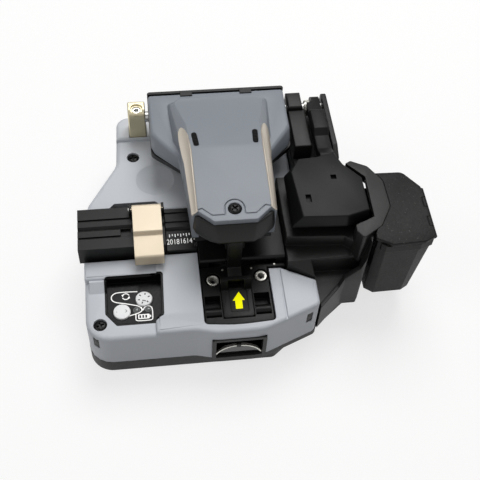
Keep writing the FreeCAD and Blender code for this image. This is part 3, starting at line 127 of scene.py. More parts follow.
def mathNode(tree, operation, first, second=None, clamp=False):
    node = addNode(tree, "ShaderNodeMath", {"operation": operation, "use_clamp": clamp}, {0: first})
    if second is not None:
        if isinstance(second, bpy.types.NodeSocket):
            tree.links.new(second, node.inputs[1])
        else:
            node.inputs[1].default_value = second
    return node.outputs[0]


def rampNode(tree, value, low, high, smooth=True):
    node = addNode(tree, "ShaderNodeMapRange", {"interpolation_type": "SMOOTHSTEP" if smooth else "LINEAR"},
                   {"Value": value, "From Min": low, "From Max": high})
    return node.outputs["Result"]


def buildMouldGrain():
    # The fine pebbled texture of a moulded face: a height, and a mask of its dimples.
    group, start, end = newGroup(
        "mouldGrain",
        [("Size", "NodeSocketFloat", 0.25), ("Depth", "NodeSocketFloat", 1.0)],
        [("Height", "NodeSocketFloat"), ("Mask", "NodeSocketFloat")])
    place = objectCoordinates(group)
    scale = mathNode(group, "DIVIDE", 1 / millimetre, start.outputs["Size"])
    cells = addNode(group, "ShaderNodeTexVoronoi", {"feature": "SMOOTH_F1"},
                    {"Vector": place, "Scale": scale, "Smoothness": 0.6})
    cloud = addNode(group, "ShaderNodeTexNoise", inputs={"Vector": place,
                                                         "Scale": mathNode(group, "MULTIPLY", scale, 0.45),
                                                         "Detail": 3.0, "Roughness": 0.6})
    both = mathNode(group, "ADD", mathNode(group, "MULTIPLY", cells.outputs["Distance"], 0.7),
                    mathNode(group, "MULTIPLY", cloud.outputs["Fac"], 0.6))
    group.links.new(mathNode(group, "MULTIPLY", both, start.outputs["Depth"]), end.inputs["Height"])
    group.links.new(rampNode(group, both, 0.35, 0.85), end.inputs["Mask"])
    return group


def buildMottle():
    # Slow, faint differences in tone over a face.
    group, start, end = newGroup(
        "mottle",
        [("Colour", "NodeSocketColor", (1, 1, 1, 1)), ("Size", "NodeSocketFloat", 9.0),
         ("Amount", "NodeSocketFloat", 0.05)],
        [("Colour", "NodeSocketColor"), ("Value", "NodeSocketFloat")])
    place = objectCoordinates(group)
    scale = mathNode(group, "DIVIDE", 1 / millimetre, start.outputs["Size"])
    cloud = addNode(group, "ShaderNodeTexNoise",
                    inputs={"Vector": place, "Scale": scale, "Detail": 4.0, "Roughness": 0.55})
    lift = mathNode(group, "MULTIPLY", mathNode(group, "SUBTRACT", cloud.outputs["Fac"], 0.5),
                    start.outputs["Amount"])
    factor = mathNode(group, "ADD", lift, 1.0)
    toned = addNode(group, "ShaderNodeVectorMath", {"operation": "SCALE"},
                    {0: start.outputs["Colour"], "Scale": factor})
    group.links.new(toned.outputs["Vector"], end.inputs["Colour"])
    group.links.new(cloud.outputs["Fac"], end.inputs["Value"])
    return group


def buildEdgeSoftness():
    # Rounded normals at corners, and a mask of the worn corners themselves.
    group, start, end = newGroup(
        "edgeSoftness",
        [("Radius", "NodeSocketFloat", 0.25), ("Wear", "NodeSocketFloat", 0.5)],
        [("Normal", "NodeSocketVector"), ("Mask", "NodeSocketFloat")])
    radius = mathNode(group, "MULTIPLY", start.outputs["Radius"], millimetre)
    rounded = addNode(group, "ShaderNodeBevel", {"samples": 6}, {"Radius": radius})
    flat = addNode(group, "ShaderNodeNewGeometry")
    nearness = addNode(group, "ShaderNodeVectorMath", {"operation": "DOT_PRODUCT"},
                       {0: rounded.outputs["Normal"], 1: flat.outputs["Normal"]})
    corner = rampNode(group, nearness.outputs["Value"], 0.995, 0.80)
    cloud = addNode(group, "ShaderNodeTexNoise",
                    inputs={"Vector": objectCoordinates(group), "Scale": 260.0, "Detail": 3.0})
    patch = rampNode(group, cloud.outputs["Fac"], 0.35, 0.65)
    worn = mathNode(group, "MULTIPLY", mathNode(group, "MULTIPLY", corner, patch), start.outputs["Wear"],
                    True)
    group.links.new(rounded.outputs["Normal"], end.inputs["Normal"])
    group.links.new(worn, end.inputs["Mask"])
    return group


def buildDust():
    # Specks of dust that lie on faces that look up.
    group, start, end = newGroup(
        "dust",
        [("Amount", "NodeSocketFloat", 0.3), ("Speck", "NodeSocketFloat", 0.35)],
        [("Mask", "NodeSocketFloat")])
    place = objectCoordinates(group)
    scale = mathNode(group, "DIVIDE", 1 / millimetre, start.outputs["Speck"])
    specks = addNode(group, "ShaderNodeTexVoronoi", inputs={"Vector": place, "Scale": scale,
                                                            "Randomness": 1.0})
    dots = rampNode(group, specks.outputs["Distance"], 0.17, 0.08)
    chosen = addNode(group, "ShaderNodeTexWhiteNoise", inputs={"Vector": specks.outputs["Position"]})
    kept = rampNode(group, chosen.outputs["Value"], 0.86, 0.9)
    drift = addNode(group, "ShaderNodeTexNoise", inputs={"Vector": place, "Scale": 70.0, "Detail": 2.0})
    area = rampNode(group, drift.outputs["Fac"], 0.42, 0.62)
    normal = addNode(group, "ShaderNodeSeparateXYZ",
                     inputs={"Vector": addNode(group, "ShaderNodeNewGeometry").outputs["Normal"]})
    upward = rampNode(group, normal.outputs["Z"], 0.55, 0.95)
    mask = mathNode(group, "MULTIPLY", mathNode(group, "MULTIPLY", dots, kept),
                    mathNode(group, "MULTIPLY", area, upward))
    group.links.new(mathNode(group, "MULTIPLY", mask, start.outputs["Amount"], True), end.inputs["Mask"])
    return group


def buildBrushing():
    # Fine lines along one direction, for turned and brushed metal.
    group, start, end = newGroup(
        "brushing",
        [("Stretch", "NodeSocketVector", (1.0, 18.0, 18.0)), ("Size", "NodeSocketFloat", 0.6)],
        [("Height", "NodeSocketFloat")])
    scale = mathNode(group, "DIVIDE", 1 / millimetre, start.outputs["Size"])
    stretched = addNode(group, "ShaderNodeVectorMath", {"operation": "MULTIPLY"},
                        {0: objectCoordinates(group), 1: start.outputs["Stretch"]})
    lines = addNode(group, "ShaderNodeTexNoise",
                    inputs={"Vector": stretched.outputs["Vector"], "Scale": scale, "Detail": 2.0,
                            "Roughness": 0.7})
    group.links.new(lines.outputs["Fac"], end.inputs["Height"])
    return group


groups = {
    "grain": buildMouldGrain(),
    "mottle": buildMottle(),
    "edge": buildEdgeSoftness(),
    "dust": buildDust(),
    "brushing": buildBrushing(),
}
print("shader groups:", len(groups))


# Finishes

def useGroup(tree, name, inputs):
    node = tree.nodes.new("ShaderNodeGroup")
    node.node_tree = groups[name]
    for key, value in inputs.items():
        if isinstance(value, bpy.types.NodeSocket):
            tree.links.new(value, node.inputs[key])
        else:
            node.inputs[key].default_value = value
    return node


def shade(red, green, blue):
    # A colour named by its 0 to 255 screen values.
    def linear(value):
        value = value / 255
        return value / 12.92 if value <= 0.04045 else ((value + 0.055) / 1.055) ** 2.4
    return (linear(red), linear(green), linear(blue), 1.0)


def mixColours(tree, factor, first, second):
    node = tree.nodes.new("ShaderNodeMix")
    node.data_type = "RGBA"
    for socket, value in ((node.inputs[0], factor), (node.inputs[6], first), (node.inputs[7], second)):
        if isinstance(value, bpy.types.NodeSocket):
            tree.links.new(value, socket)
        else:
            socket.default_value = value
    return node.outputs[2]


def makeFinish(name, settings):
    # One moulded, painted or metal finish from its settings.
    material = bpy.data.materials.new(name)
    material.use_nodes = True
    tree = material.node_tree
    shader = tree.nodes["Principled BSDF"]
    colour = settings["colour"]
    mottle = useGroup(tree, "mottle", {"Colour": colour, "Size": settings.get("mottleSize", 9.0),
                                       "Amount": settings.get("mottle", 0.06)})
    edge = useGroup(tree, "edge", {"Radius": settings.get("edge", 0.25), "Wear": settings.get("wear", 0.4)})
    paler = tuple(min(1, value * 1.5 + 0.02) for value in colour[:3]) + (1,)
    result = mixColours(tree, edge.outputs["Mask"], mottle.outputs["Colour"],
                        settings.get("wornColour", paler))
    if settings.get("dust"):
        dust = useGroup(tree, "dust", {"Amount": settings["dust"], "Speck": settings.get("speck", 0.35)})
        result = mixColours(tree, dust.outputs["Mask"], result, shade(206, 204, 198))
    tree.links.new(result, shader.inputs["Base Color"])
    shader.inputs["Metallic"].default_value = settings.get("metallic", 0.0)
    shader.inputs["IOR"].default_value = settings.get("ior", 1.46)
    shader.inputs["Specular IOR Level"].default_value = settings.get("specular", 0.5)
    shader.inputs["Coat Weight"].default_value = settings.get("coat", 0.0)
    shader.inputs["Coat Roughness"].default_value = settings.get("coatRoughness", 0.3)
    # glow is painted light: a small emission that makes a finish read brighter than the lamps make it. Only
    # the white and yellow prints use it.
    shader.inputs["Emission Color"].default_value = colour
    shader.inputs["Emission Strength"].default_value = settings.get("glow", 0.0)
    roughness = settings["roughness"]
    if settings.get("grain"):
        size, depth = settings["grain"]
        grain = useGroup(tree, "grain", {"Size": size, "Depth": 1.0})
        height = grain.outputs["Height"]
        spread = grain.outputs["Mask"]
    else:
        size, depth, stretch = settings.get("brushed", (0.5, 0.004, (1.0, 20.0, 20.0)))
        brushing = useGroup(tree, "brushing", {"Size": size, "Stretch": stretch})
        height = brushing.outputs["Height"]
        spread = height
    variation = mathNode(tree, "MULTIPLY", mathNode(tree, "SUBTRACT", spread, 0.5),
                         settings.get("spread", 0.08))
    cloud = mathNode(tree, "MULTIPLY", mathNode(tree, "SUBTRACT", mottle.outputs["Value"], 0.5), 0.12)
    tree.links.new(mathNode(tree, "ADD", mathNode(tree, "ADD", variation, cloud), roughness, True),
                   shader.inputs["Roughness"])
    bump = addNode(tree, "ShaderNodeBump", inputs={"Strength": settings.get("bump", 0.5),
                                                   "Distance": depth * millimetre,
                                                   "Height": height, "Normal": edge.outputs["Normal"]})
    tree.links.new(bump.outputs["Normal"], shader.inputs["Normal"])
    return material


finishes = {
    "caseGrey": {"colour": shade(204, 208, 214), "roughness": 0.42, "grain": (0.16, 0.010), "edge": 0.35,
                 "wear": 0.25, "mottle": 0.04, "dust": 0.25},
    "leverGrey": {"colour": shade(138, 144, 152), "roughness": 0.40, "grain": (0.16, 0.010), "edge": 0.5,
                  "wear": 0.25, "mottle": 0.04, "dust": 0.2},
    "shellBlack": {"specular": 0.4, "colour": shade(24, 24, 23), "roughness": 0.46, "grain": (0.22, 0.02),
                   "edge": 0.3, "wear": 0.35, "wornColour": shade(70, 69, 66), "dust": 0.35},
    "trayBlack": {"specular": 0.4, "colour": shade(28, 28, 27), "roughness": 0.5, "grain": (0.22, 0.02),
                  "edge": 0.35, "wear": 0.4, "wornColour": shade(84, 84, 80)},
    "binBlack": {"specular": 0.25, "colour": shade(15, 15, 14), "roughness": 0.5, "grain": (0.42, 0.05),
                 "bump": 0.8, "edge": 0.35, "wear": 0.4, "wornColour": shade(78, 77, 72), "dust": 1.0,
                 "speck": 0.45},
    "noseBlack": {"colour": shade(20, 20, 19), "roughness": 0.42, "grain": (0.2, 0.012), "edge": 0.25,
                  "wear": 0.3, "wornColour": shade(66, 65, 60), "dust": 0.2, "specular": 0.4},
    "armBlack": {"colour": shade(15, 15, 15), "roughness": 0.42, "grain": (0.2, 0.012), "edge": 0.25,
                 "wear": 0.3, "wornColour": shade(72, 73, 74), "dust": 0.3, "specular": 0.22},
    "metalBlack": {"specular": 0.3, "colour": shade(14, 14, 13), "roughness": 0.42, "grain": (0.12, 0.008),
                   "edge": 0.2, "wear": 0.5, "wornColour": shade(90, 88, 84), "dust": 0.3},
    "deckBlack": {"specular": 0.25, "colour": shade(14, 14, 13), "roughness": 0.4, "grain": (0.30, 0.03),
                  "edge": 0.22, "wear": 0.4, "wornColour": shade(64, 62, 58), "dust": 0.3},
    "panelBlack": {"specular": 0.12, "colour": shade(9, 10, 10), "roughness": 0.22, "grain": (0.5, 0.004),
                   "edge": 0.3, "wear": 0.1, "dust": 0.15},
    "champagne": {"colour": shade(222, 207, 182), "roughness": 0.36, "metallic": 0.2,
                  "brushed": (0.5, 0.004, (1.0, 14.0, 14.0)), "edge": 0.25, "wear": 0.5,
                  "wornColour": shade(252, 244, 228), "mottle": 0.03},
    "trimGold": {"colour": shade(214, 204, 190), "roughness": 0.34, "metallic": 0.75,
                 "brushed": (0.5, 0.003, (14.0, 1.0, 14.0)), "edge": 0.12, "wear": 0.4,
                 "wornColour": shade(236, 228, 208), "mottle": 0.03},
    "bracketGold": {"colour": shade(222, 212, 180), "roughness": 0.34, "metallic": 0.85,
                    "brushed": (0.5, 0.004, (1.0, 14.0, 14.0)), "edge": 0.25, "wear": 0.5,
                    "wornColour": shade(232, 224, 200), "mottle": 0.03},
    "steel": {"colour": shade(200, 200, 198), "roughness": 0.24, "metallic": 1.0,
              "brushed": (0.3, 0.003, (1.0, 16.0, 16.0)), "edge": 0.12, "wear": 0.3, "mottle": 0.04},
    "carbide": {"colour": shade(150, 150, 154), "roughness": 0.2, "metallic": 1.0,
                "brushed": (0.2, 0.002, (16.0, 1.0, 1.0)), "edge": 0.05, "wear": 0.3, "mottle": 0.03},
    "screwBlack": {"colour": shade(26, 26, 27), "roughness": 0.3, "metallic": 0.6, "grain": (0.12, 0.004),
                   "edge": 0.12, "wear": 0.7, "wornColour": shade(110, 110, 112)},
    "castAlloy": {"colour": shade(160, 162, 166), "roughness": 0.5, "metallic": 0.9, "grain": (0.18, 0.02),
                  "edge": 0.25, "wear": 0.3},
    "rubber": {"colour": shade(24, 24, 24), "roughness": 0.78, "grain": (0.3, 0.03), "edge": 0.2, "wear": 0.2,
               "specular": 0.35},
    "keyWhite": {"colour": shade(250, 251, 251), "roughness": 0.4, "grain": (0.2, 0.004), "edge": 0.3,
                 "wear": 0.1, "wornColour": shade(250, 250, 250), "mottle": 0.02},
    "lampGrey": {"colour": shade(110, 112, 112), "roughness": 0.12, "grain": (0.5, 0.002), "edge": 0.15,
                 "wear": 0.0, "coat": 0.6, "coatRoughness": 0.05},
    "boardGreen": {"colour": shade(24, 92, 52), "roughness": 0.3, "grain": (0.6, 0.004), "edge": 0.1,
                   "wear": 0.2},
    "cellFoil": {"colour": shade(176, 178, 182), "roughness": 0.3, "metallic": 0.8, "grain": (0.8, 0.02),
                 "edge": 0.3, "wear": 0.2},
    # The white and yellow prints glow a little (0.3 and 0.4): painted light that keeps them bright where the
    # lamps light them less.
    "printWhite": {"glow": 0.3, "colour": shade(252, 252, 250), "roughness": 0.5, "grain": (0.12, 0.002),
                   "edge": 0.02, "wear": 0.0, "mottle": 0.05, "mottleSize": 2.0},
    "printYellow": {"glow": 0.4, "colour": shade(255, 252, 2), "specular": 0.1, "roughness": 0.5,
                    "grain": (0.12, 0.002), "edge": 0.02, "wear": 0.0, "mottle": 0.02},
    "printFaded": {"colour": shade(92, 93, 96), "roughness": 0.5, "grain": (0.12, 0.002), "edge": 0.02,
                   "wear": 0.0, "mottle": 0.2, "mottleSize": 1.0},
    "printGrey": {"colour": shade(120, 122, 122), "roughness": 0.5, "grain": (0.12, 0.002), "edge": 0.02,
                  "wear": 0.0},
    "labelBlack": {"colour": shade(26, 25, 24), "roughness": 0.5, "grain": (0.2, 0.004), "edge": 0.05,
                   "wear": 0.3, "specular": 0.3},
    "screwSteel": {"colour": shade(222, 220, 212), "roughness": 0.28, "metallic": 0.85,
                   "brushed": (0.3, 0.003, (1.0, 16.0, 16.0)), "edge": 0.1, "wear": 0.4, "mottle": 0.05},
    "brightSteel": {"colour": shade(236, 234, 226), "roughness": 0.22, "metallic": 0.7,
                    "brushed": (0.3, 0.003, (1.0, 16.0, 16.0)), "edge": 0.1, "wear": 0.4, "mottle": 0.05},
    "printDark": {"colour": shade(40, 42, 42), "roughness": 0.5, "grain": (0.12, 0.002), "edge": 0.02,
                  "wear": 0.0},
    "windowDark": {"colour": shade(9, 9, 9), "roughness": 0.14, "grain": (0.8, 0.002), "edge": 0.1,
                   "wear": 0.0, "coat": 0.5, "coatRoughness": 0.05},
}
materials = {name: makeFinish(name, settings) for name, settings in finishes.items()}
print("finishes:", len(materials))

nodeFinish = {
    "caseGrey": ["front_cover", "rear_cover"],
    "leverGrey": ["lever_cover"],
    "shellBlack": ["right_housing", "arm_cover", "window_bezel", "hinge_block"],
    "trayBlack": ["base_tray", "battery_cover"],
    "binBlack": ["bin_body", "bin_lid"],
    "metalBlack": ["holder_deck", "clamp_base", "lever_frame", "adapter_block", "latch_hook", "upper_clamps",
                   "lower_clamps"],
    "deckBlack": ["front_deck", "latch_slide"],
    "panelBlack": ["panel_bezel"],
    "champagne": ["clamp_flap"],
    "trimGold": ["lever_trim_left", "lever_trim_right"],
    "bracketGold": ["hinge_bracket"],
    "steel": ["deck_screws", "hinge_shaft", "hinge_set_screw", "blade_axle", "clamp_pin", "bin_lid_pin",
              "window_rim", "arm_spring", "slide_rail", "anvil", "holder_magnets", "motor_pinion",
              "blade_gear", "blade_motor"],
    "carbide": ["blade_wheel"],
    "screwBlack": ["cover_screws", "lever_screw"],
    "castAlloy": ["chassis", "slider_block"],
    "rubber": ["rubber_feet", "lower_clamp_pads", "upper_clamp_pads", "clamp_pad", "lever_inserts",
               "drive_roller", "idler_roller"],
    "keyWhite": ["turn_button", "link_button"],
    "lampGrey": ["status_leds"],
    "boardGreen": ["circuit_board"],
    "cellFoil": ["battery_cell"],
    "windowDark": ["window_arch"],
}
finishOf = {node: name for name, members in nodeFinish.items() for node in members}
for name, node in nodes.items():
    if not node.material_slots:
        node.data.materials.append(materials[finishOf[name]])
    for place in node.material_slots:
        place.material = materials[finishOf[name]]
print("dressed nodes:", len(nodes))


# Tools for new pieces
def addPrimitive(kind, **settings):
    bpy.ops.object.select_all(action="DESELECT")
    getattr(bpy.ops.mesh, "primitive_" + kind + "_add")(**settings)
    return bpy.context.object


def editAll(piece):
    selectOnly(piece)
    bpy.ops.object.mode_set(mode="EDIT")
    bpy.ops.mesh.select_mode(type="VERT")
    bpy.ops.mesh.select_all(action="SELECT")


def editDone():
    bpy.ops.object.mode_set(mode="OBJECT")


def outlineFace(points, place):
    # A flat face with its corners where place puts each point.
    piece = addPrimitive("circle", vertices=len(points), radius=0.01, fill_type="NGON")
    for vertex, point in zip(piece.data.vertices, points):
        vertex.co = place(*point)
    return piece


def outlineSheet(points, height):
    return outlineFace(points, lambda x, y: at(x, y, height))


def raiseSheet(piece, along):
    editAll(piece)
    bpy.ops.mesh.extrude_region_move(TRANSFORM_OT_translate={"value": [step * millimetre for step in along]})
    bpy.ops.mesh.select_all(action="SELECT")
    bpy.ops.mesh.normals_make_consistent(inside=False)
    editDone()
    return piece


def outlinePlate(points, low, high):
    return raiseSheet(outlineSheet(points, low), (0, 0, high - low))


def outlineBand(points, width, low, high):
    # A closed band that follows the outline on its inner side.
    piece = outlineSheet(points, low)
    editAll(piece)
    bpy.ops.mesh.inset(thickness=width * millimetre, use_even_offset=True)
    bpy.ops.mesh.delete(type="FACE")
    editDone()
    return raiseSheet(piece, (0, 0, high - low))


def roundedOutline(corners, steps=5):
    # Corners are (x, y, radius); each is turned into a short arc.
    points = []
    for index, (x, y, radius) in enumerate(corners):
        corner = Vector((x, y))
        before = (Vector(corners[index - 1][:2]) - corner).normalized()
        after = (Vector(corners[(index + 1) % len(corners)][:2]) - corner).normalized()
        if radius <= 0:
            points.append(tuple(corner))
            continue
        half = before.angle(after) / 2
        run = radius / math.tan(half)
        middle = corner + (before + after).normalized() * (radius / math.sin(half))
        start = corner + before * run - middle
        turn = start.angle_signed(corner + after * run - middle)
        for step in range(steps + 1):
            angle = -turn * step / steps
            points.append((middle.x + start.x * math.cos(angle) - start.y * math.sin(angle),
                           middle.y + start.x * math.sin(angle) + start.y * math.cos(angle)))
    return points


def strokePath(points, width):
    # The outline of a line of this width along an open path.
    path = [Vector(point) for point in points]
    left = []
    right = []
    for index, point in enumerate(path):
        ahead = path[min(index + 1, len(path) - 1)] - path[max(index - 1, 0)]
        side = Vector((-ahead.y, ahead.x)).normalized() * width / 2
        left.append(tuple(point + side))
        right.append(tuple(point - side))
    return left + right[::-1]


def strokePiece(points, width, low, high):
    # A raised line along an open path, made of one strip of faces.
    outline = strokePath(points, width)
    count = len(points)
    piece = addPrimitive("grid", x_subdivisions=count - 1, y_subdivisions=1, size=0.01)
    for index, vertex in enumerate(piece.data.vertices):
        row, column = divmod(index, count)
        x, y = outline[column] if row == 0 else outline[2 * count - 1 - column]
        vertex.co = at(x, y, low)
    return raiseSheet(piece, (0, 0, high - low))


def joinPieces(pieces):
    bpy.ops.object.select_all(action="DESELECT")
    for piece in pieces:
        piece.select_set(True)
    bpy.context.view_layer.objects.active = pieces[0]
    bpy.ops.object.join()
    return pieces[0]


def turned(profile, centre, axis=(0, 0, 1), steps=48):
    # A closed turned part from (radius, height) pairs that start and end on its axis.
    piece = addPrimitive("circle", vertices=len(profile), radius=0.01, fill_type="NOTHING")
    upright = Vector(axis)
    outward = Vector((0, 0, 1)) if abs(upright.x) > 0.5 or abs(upright.y) > 0.5 else Vector((1, 0, 0))
    middle = at(*centre)
    for vertex, (radius, height) in zip(piece.data.vertices, profile):
        vertex.co = middle + (outward * radius + upright * height) * millimetre
    selectOnly(piece)
    bpy.ops.object.mode_set(mode="EDIT")
    mesh = bmesh.from_edit_mesh(piece.data)
    mesh.verts.ensure_lookup_table()
    closing = [edge for edge in mesh.edges if {edge.verts[0].index, edge.verts[1].index} == {0,
        len(profile) - 1}]
    bmesh.ops.delete(mesh, geom=closing, context="EDGES")
    bmesh.update_edit_mesh(piece.data)
    bpy.ops.mesh.select_all(action="SELECT")
    bpy.ops.mesh.spin(steps=steps, angle=math.tau, center=middle, axis=upright)
    bpy.ops.mesh.select_all(action="SELECT")
    bpy.ops.mesh.remove_doubles(threshold=0.002 * millimetre)
    bpy.ops.mesh.normals_make_consistent(inside=False)
    editDone()
    return piece


def cutWith(piece, cutter):
    modifier = piece.modifiers.new("cut", "BOOLEAN")
    modifier.operation = "DIFFERENCE"
    modifier.solver = "EXACT"
    modifier.object = cutter
    applyModifiers(piece)
    bpy.data.objects.remove(cutter)
    return piece


def softenEdges(piece, width, segments=2, angle=30):
    modifier = piece.modifiers.new("softened", "BEVEL")
    modifier.width = width * millimetre
    modifier.segments = segments
    modifier.limit_method = "ANGLE"
    modifier.angle_limit = math.radians(angle)
    applyModifiers(piece)
    return piece


def ring(x, y, radius, count, start=0.0):
    return [(x + radius * math.cos(start + math.tau * step / count),
             y + radius * math.sin(start + math.tau * step / count)) for step in range(count)]


def lettering(text, size, squeeze, place, lift):
    # A printed word or number, its foot's left end at the place.
    bpy.ops.object.select_all(action="DESELECT")
    bpy.ops.object.text_add()
    piece = bpy.context.object
    piece.data.body = text
    piece.data.size = size * millimetre
    piece.data.extrude = lift * millimetre
    piece.data.resolution_u = 4
    bpy.ops.object.convert(target="MESH")
    piece = bpy.context.object
    piece.scale = (squeeze, 1, 1)
    piece.location = at(*place)
    return piece


def arcPath(x, y, radius, start, end, steps=20):
    return [(x + radius * math.cos(math.radians(start + (end - start) * step / steps)),
             y + radius * math.sin(math.radians(start + (end - start) * step / steps)))
            for step in range(steps + 1)]


def roundPath(points, steps=6):
    # A smooth run through the corners of an open path.
    smooth = [points[0]]
    for before, corner, after in zip(points, points[1:], points[2:]):
        start = (Vector(before) + Vector(corner)) / 2
        end = (Vector(corner) + Vector(after)) / 2
        for step in range(steps + 1):
            share = step / steps
            smooth.append(tuple(start * (1 - share) ** 2 + Vector(corner) * 2 * share * (1 - share)
                                + end * share ** 2))
    return smooth + [points[-1]]


# Millimetre scale on the deck behind the hook
deckTop = millimetres(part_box("holder_deck")[1])[2]
scaleMarks = {
    "firstX": -21.0, "ticks": 11, "tickStep": 0.98, "tickFront": -3.4, "tickRear": -2.1, "tickWide": 0.32,
    "numbers": (("20", -22.2, -6.4), ("18", -19.9, -6.45), ("16", -17.6, -6.3), ("14", -15.4, -6.35)),
    "dashes": ((-12.75, -4.95), (-11.6, -5.0)), "ten": ("10", -13.0, -7.8),
    "size": 3.1, "squeeze": 0.72, "print": 0.02, "hidden": 3, "minor": 0.5, "dash": (0.8, 0.3),
    "tenSize": 2.3, "tenSqueeze": 0.6,
}


def makeScale():
    marks = []
    dashLong, dashWide = scaleMarks["dash"]
    for step in range(scaleMarks["ticks"] - scaleMarks["hidden"]):
        x = scaleMarks["firstX"] + step * scaleMarks["tickStep"]
        front = scaleMarks["tickFront"] + (0 if step % 2 == 0 else scaleMarks["minor"])
        half = scaleMarks["tickWide"] / 2
        marks.append(outlinePlate([(x - half, front), (x + half, front), (x + half, scaleMarks["tickRear"]),
                                   (x - half, scaleMarks["tickRear"])], deckTop,
                                   deckTop + scaleMarks["print"]))
    for x, y in scaleMarks["dashes"]:
        marks.append(outlinePlate([(x, y), (x + dashLong, y), (x + dashLong, y + dashWide),
                                   (x, y + dashWide)], deckTop, deckTop + scaleMarks["print"]))
    for text, x, y in scaleMarks["numbers"]:
        marks.append(lettering(text, scaleMarks["size"], scaleMarks["squeeze"], (x, y, deckTop),
                               scaleMarks["print"]))
    scale = joinPieces(marks)
    settle(scale, "scaleMarks", materials["printWhite"], "base", smooth=0)
    text, x, y = scaleMarks["ten"]
    last = lettering(text, scaleMarks["tenSize"], scaleMarks["tenSqueeze"], (x, y, deckTop),
                     scaleMarks["print"])
    settle(last, "scaleTen", materials["printFaded"], "base", smooth=0)


makeScale()
print("scale: ticks and numbers")

# Dark label and arrow on the latch
latchTop = 24.0
labelSettings = {
    "outline": [(-2.35, -33.5, 0.3), (3.25, -33.5, 0.3), (3.25, -25.1, 0.3), (-2.35, -25.1, 0.3)],
    "thick": 0.12,
    "arrow": [(0.75, -25.95), (2.5, -29.3), (1.55, -29.3), (1.5, -32.55), (-0.85, -32.55), (-0.8, -29.3),
              (-1.65, -29.3)],
    "print": 0.03,
}


def makeLatchLabel():
    plate = outlinePlate(roundedOutline(labelSettings["outline"]), latchTop + 0.01,
                         latchTop + labelSettings["thick"])
    settle(plate, "latchLabel", materials["labelBlack"], "latch", smooth=0)
    top = latchTop + labelSettings["thick"]
    arrow = outlinePlate(labelSettings["arrow"], top, top + labelSettings["print"])
    settle(arrow, "latchArrow", materials["printYellow"], "latch", smooth=0)


makeLatchLabel()
print("latch label and arrow")

# Prints in the control panel: outlines and plain icons
panelPrint = {
    "low": 21.0, "high": 21.03, "line": 0.34,
    "turnLine": [(-33.4, -20.9), (-36.2, -20.77), (-39.0, -20.72), (-41.2, -20.9), (-42.5, -22.3),
                 (-41.9, -24.4), (-37.8, -25.3), (-35.0, -26.1), (-33.0, -26.7), (-31.9, -28.2),
                 (-32.9, -29.3), (-35.2, -29.9), (-36.7, -30.3)],
    "batteryLine": [(-32.4, -27.2), (-31.9, -28.7), (-31.4, -27.3), (-30.2, -26.8), (-28.9, -27.2),
                    (-28.65, -28.7), (-28.7, -31.0), (-28.8, -32.3), (-30.2, -32.45), (-33.2, -32.45),
                    (-34.4, -32.2), (-34.35, -31.0), (-34.3, -29.7)],
    "turnIcon": (-37.4, -22.55, 1.15), "arrowStarts": (20, 200), "arrowSweep": 125, "arrowTip": 140,
    "arrowHead": 0.55, "arrowLean": 0.2, "batteryIcon": (-33.6, -31.75, -29.75, -29.95), "corner": 0.3,
    "nub": (0.1, 0.5, 0.5), "bars": 3, "barWide": 0.6, "barStep": 1.0, "barInset": (0.4, 0.35),
    "barThick": 0.01,
}


def iconArrowHead(x, y, size, angle):
    return [(x + size * math.cos(angle + turn), y + size * math.sin(angle + turn)) for turn in (0, 2.3, -2.3)]


def makePanelPrints():
    low, high, line = panelPrint["low"], panelPrint["high"], panelPrint["line"]
    marks = [strokePiece(roundPath(panelPrint["turnLine"]), line, low, high),
             strokePiece(roundPath(panelPrint["batteryLine"]), line, low, high)]
    x, y, radius = panelPrint["turnIcon"]
    for start in panelPrint["arrowStarts"]:  # two arrows that chase each other round
        marks.append(strokePiece(arcPath(x, y, radius, start, start + panelPrint["arrowSweep"], 12),
                                 line, low, high))
        angle = math.radians(start + panelPrint["arrowTip"])
        head = iconArrowHead(x + radius * math.cos(angle), y + radius * math.sin(angle),
                             panelPrint["arrowHead"], angle + math.pi / 2 + panelPrint["arrowLean"])
        marks.append(outlinePlate(head, low, high))
    left, front, right, rear = panelPrint["batteryIcon"]
    corner = panelPrint["corner"]
    marks.append(outlinePlate(roundedOutline([(left, front, corner), (right, front, corner),
                                              (right, rear, corner), (left, rear, corner)]), low, high))
    near, far, inset = panelPrint["nub"]
    marks.append(outlinePlate([(right + near, front + inset), (right + far, front + inset),
                               (right + far, rear - inset), (right + near, rear - inset)], low, high))
    settle(joinPieces(marks), "panelPrints", materials["printWhite"], "base", smooth=0)
    side, end = panelPrint["barInset"]
    bars = []
    for step in range(panelPrint["bars"]):
        start = left + side + step * panelPrint["barStep"]
        stop = start + panelPrint["barWide"]
        bars.append(outlinePlate([(start, front + end), (stop, front + end), (stop, rear - end),
                                  (start, rear - end)], high, high + panelPrint["barThick"]))
    settle(joinPieces(bars), "batteryBars", materials["printDark"], "base", smooth=0)


makePanelPrints()
print("panel outlines and icons")

# The two round buttons, crowned, with icons on them
buttons = {
    "turn": {"node": "turn_button", "body": "turn_key", "x": -31.3, "y": -24.2, "radius": 2.85},
    "link": {"node": "link_button", "body": "link_key", "x": -38.9, "y": -28.7, "radius": 2.9},
}
buttonShape = {"low": 19.2, "top": 21.7, "crown": 0.1, "edge": 0.32, "print": 0.02, "waist": 0.6,
               "waistTop": 20.25, "printCrown": 0.55, "edgeTurns": (22, 45, 67, 90),
               "crownShares": (0.7, 0.4)}
dialMarks = {"angles": (20, 75, 135, 195, 250, 310), "near": 1.45, "far": 2.1, "line": 0.42,
             "dash": [(-0.6, -0.75), (0, -0.9), (0.6, -1.1)], "dashLine": 0.35, "lift": 0.02}
chainMarks = {"apart": 0.72, "rise": 0.06, "long": 1.05, "half": 0.5, "corner": 0.49, "line": 0.2,
              "step": 0.01}


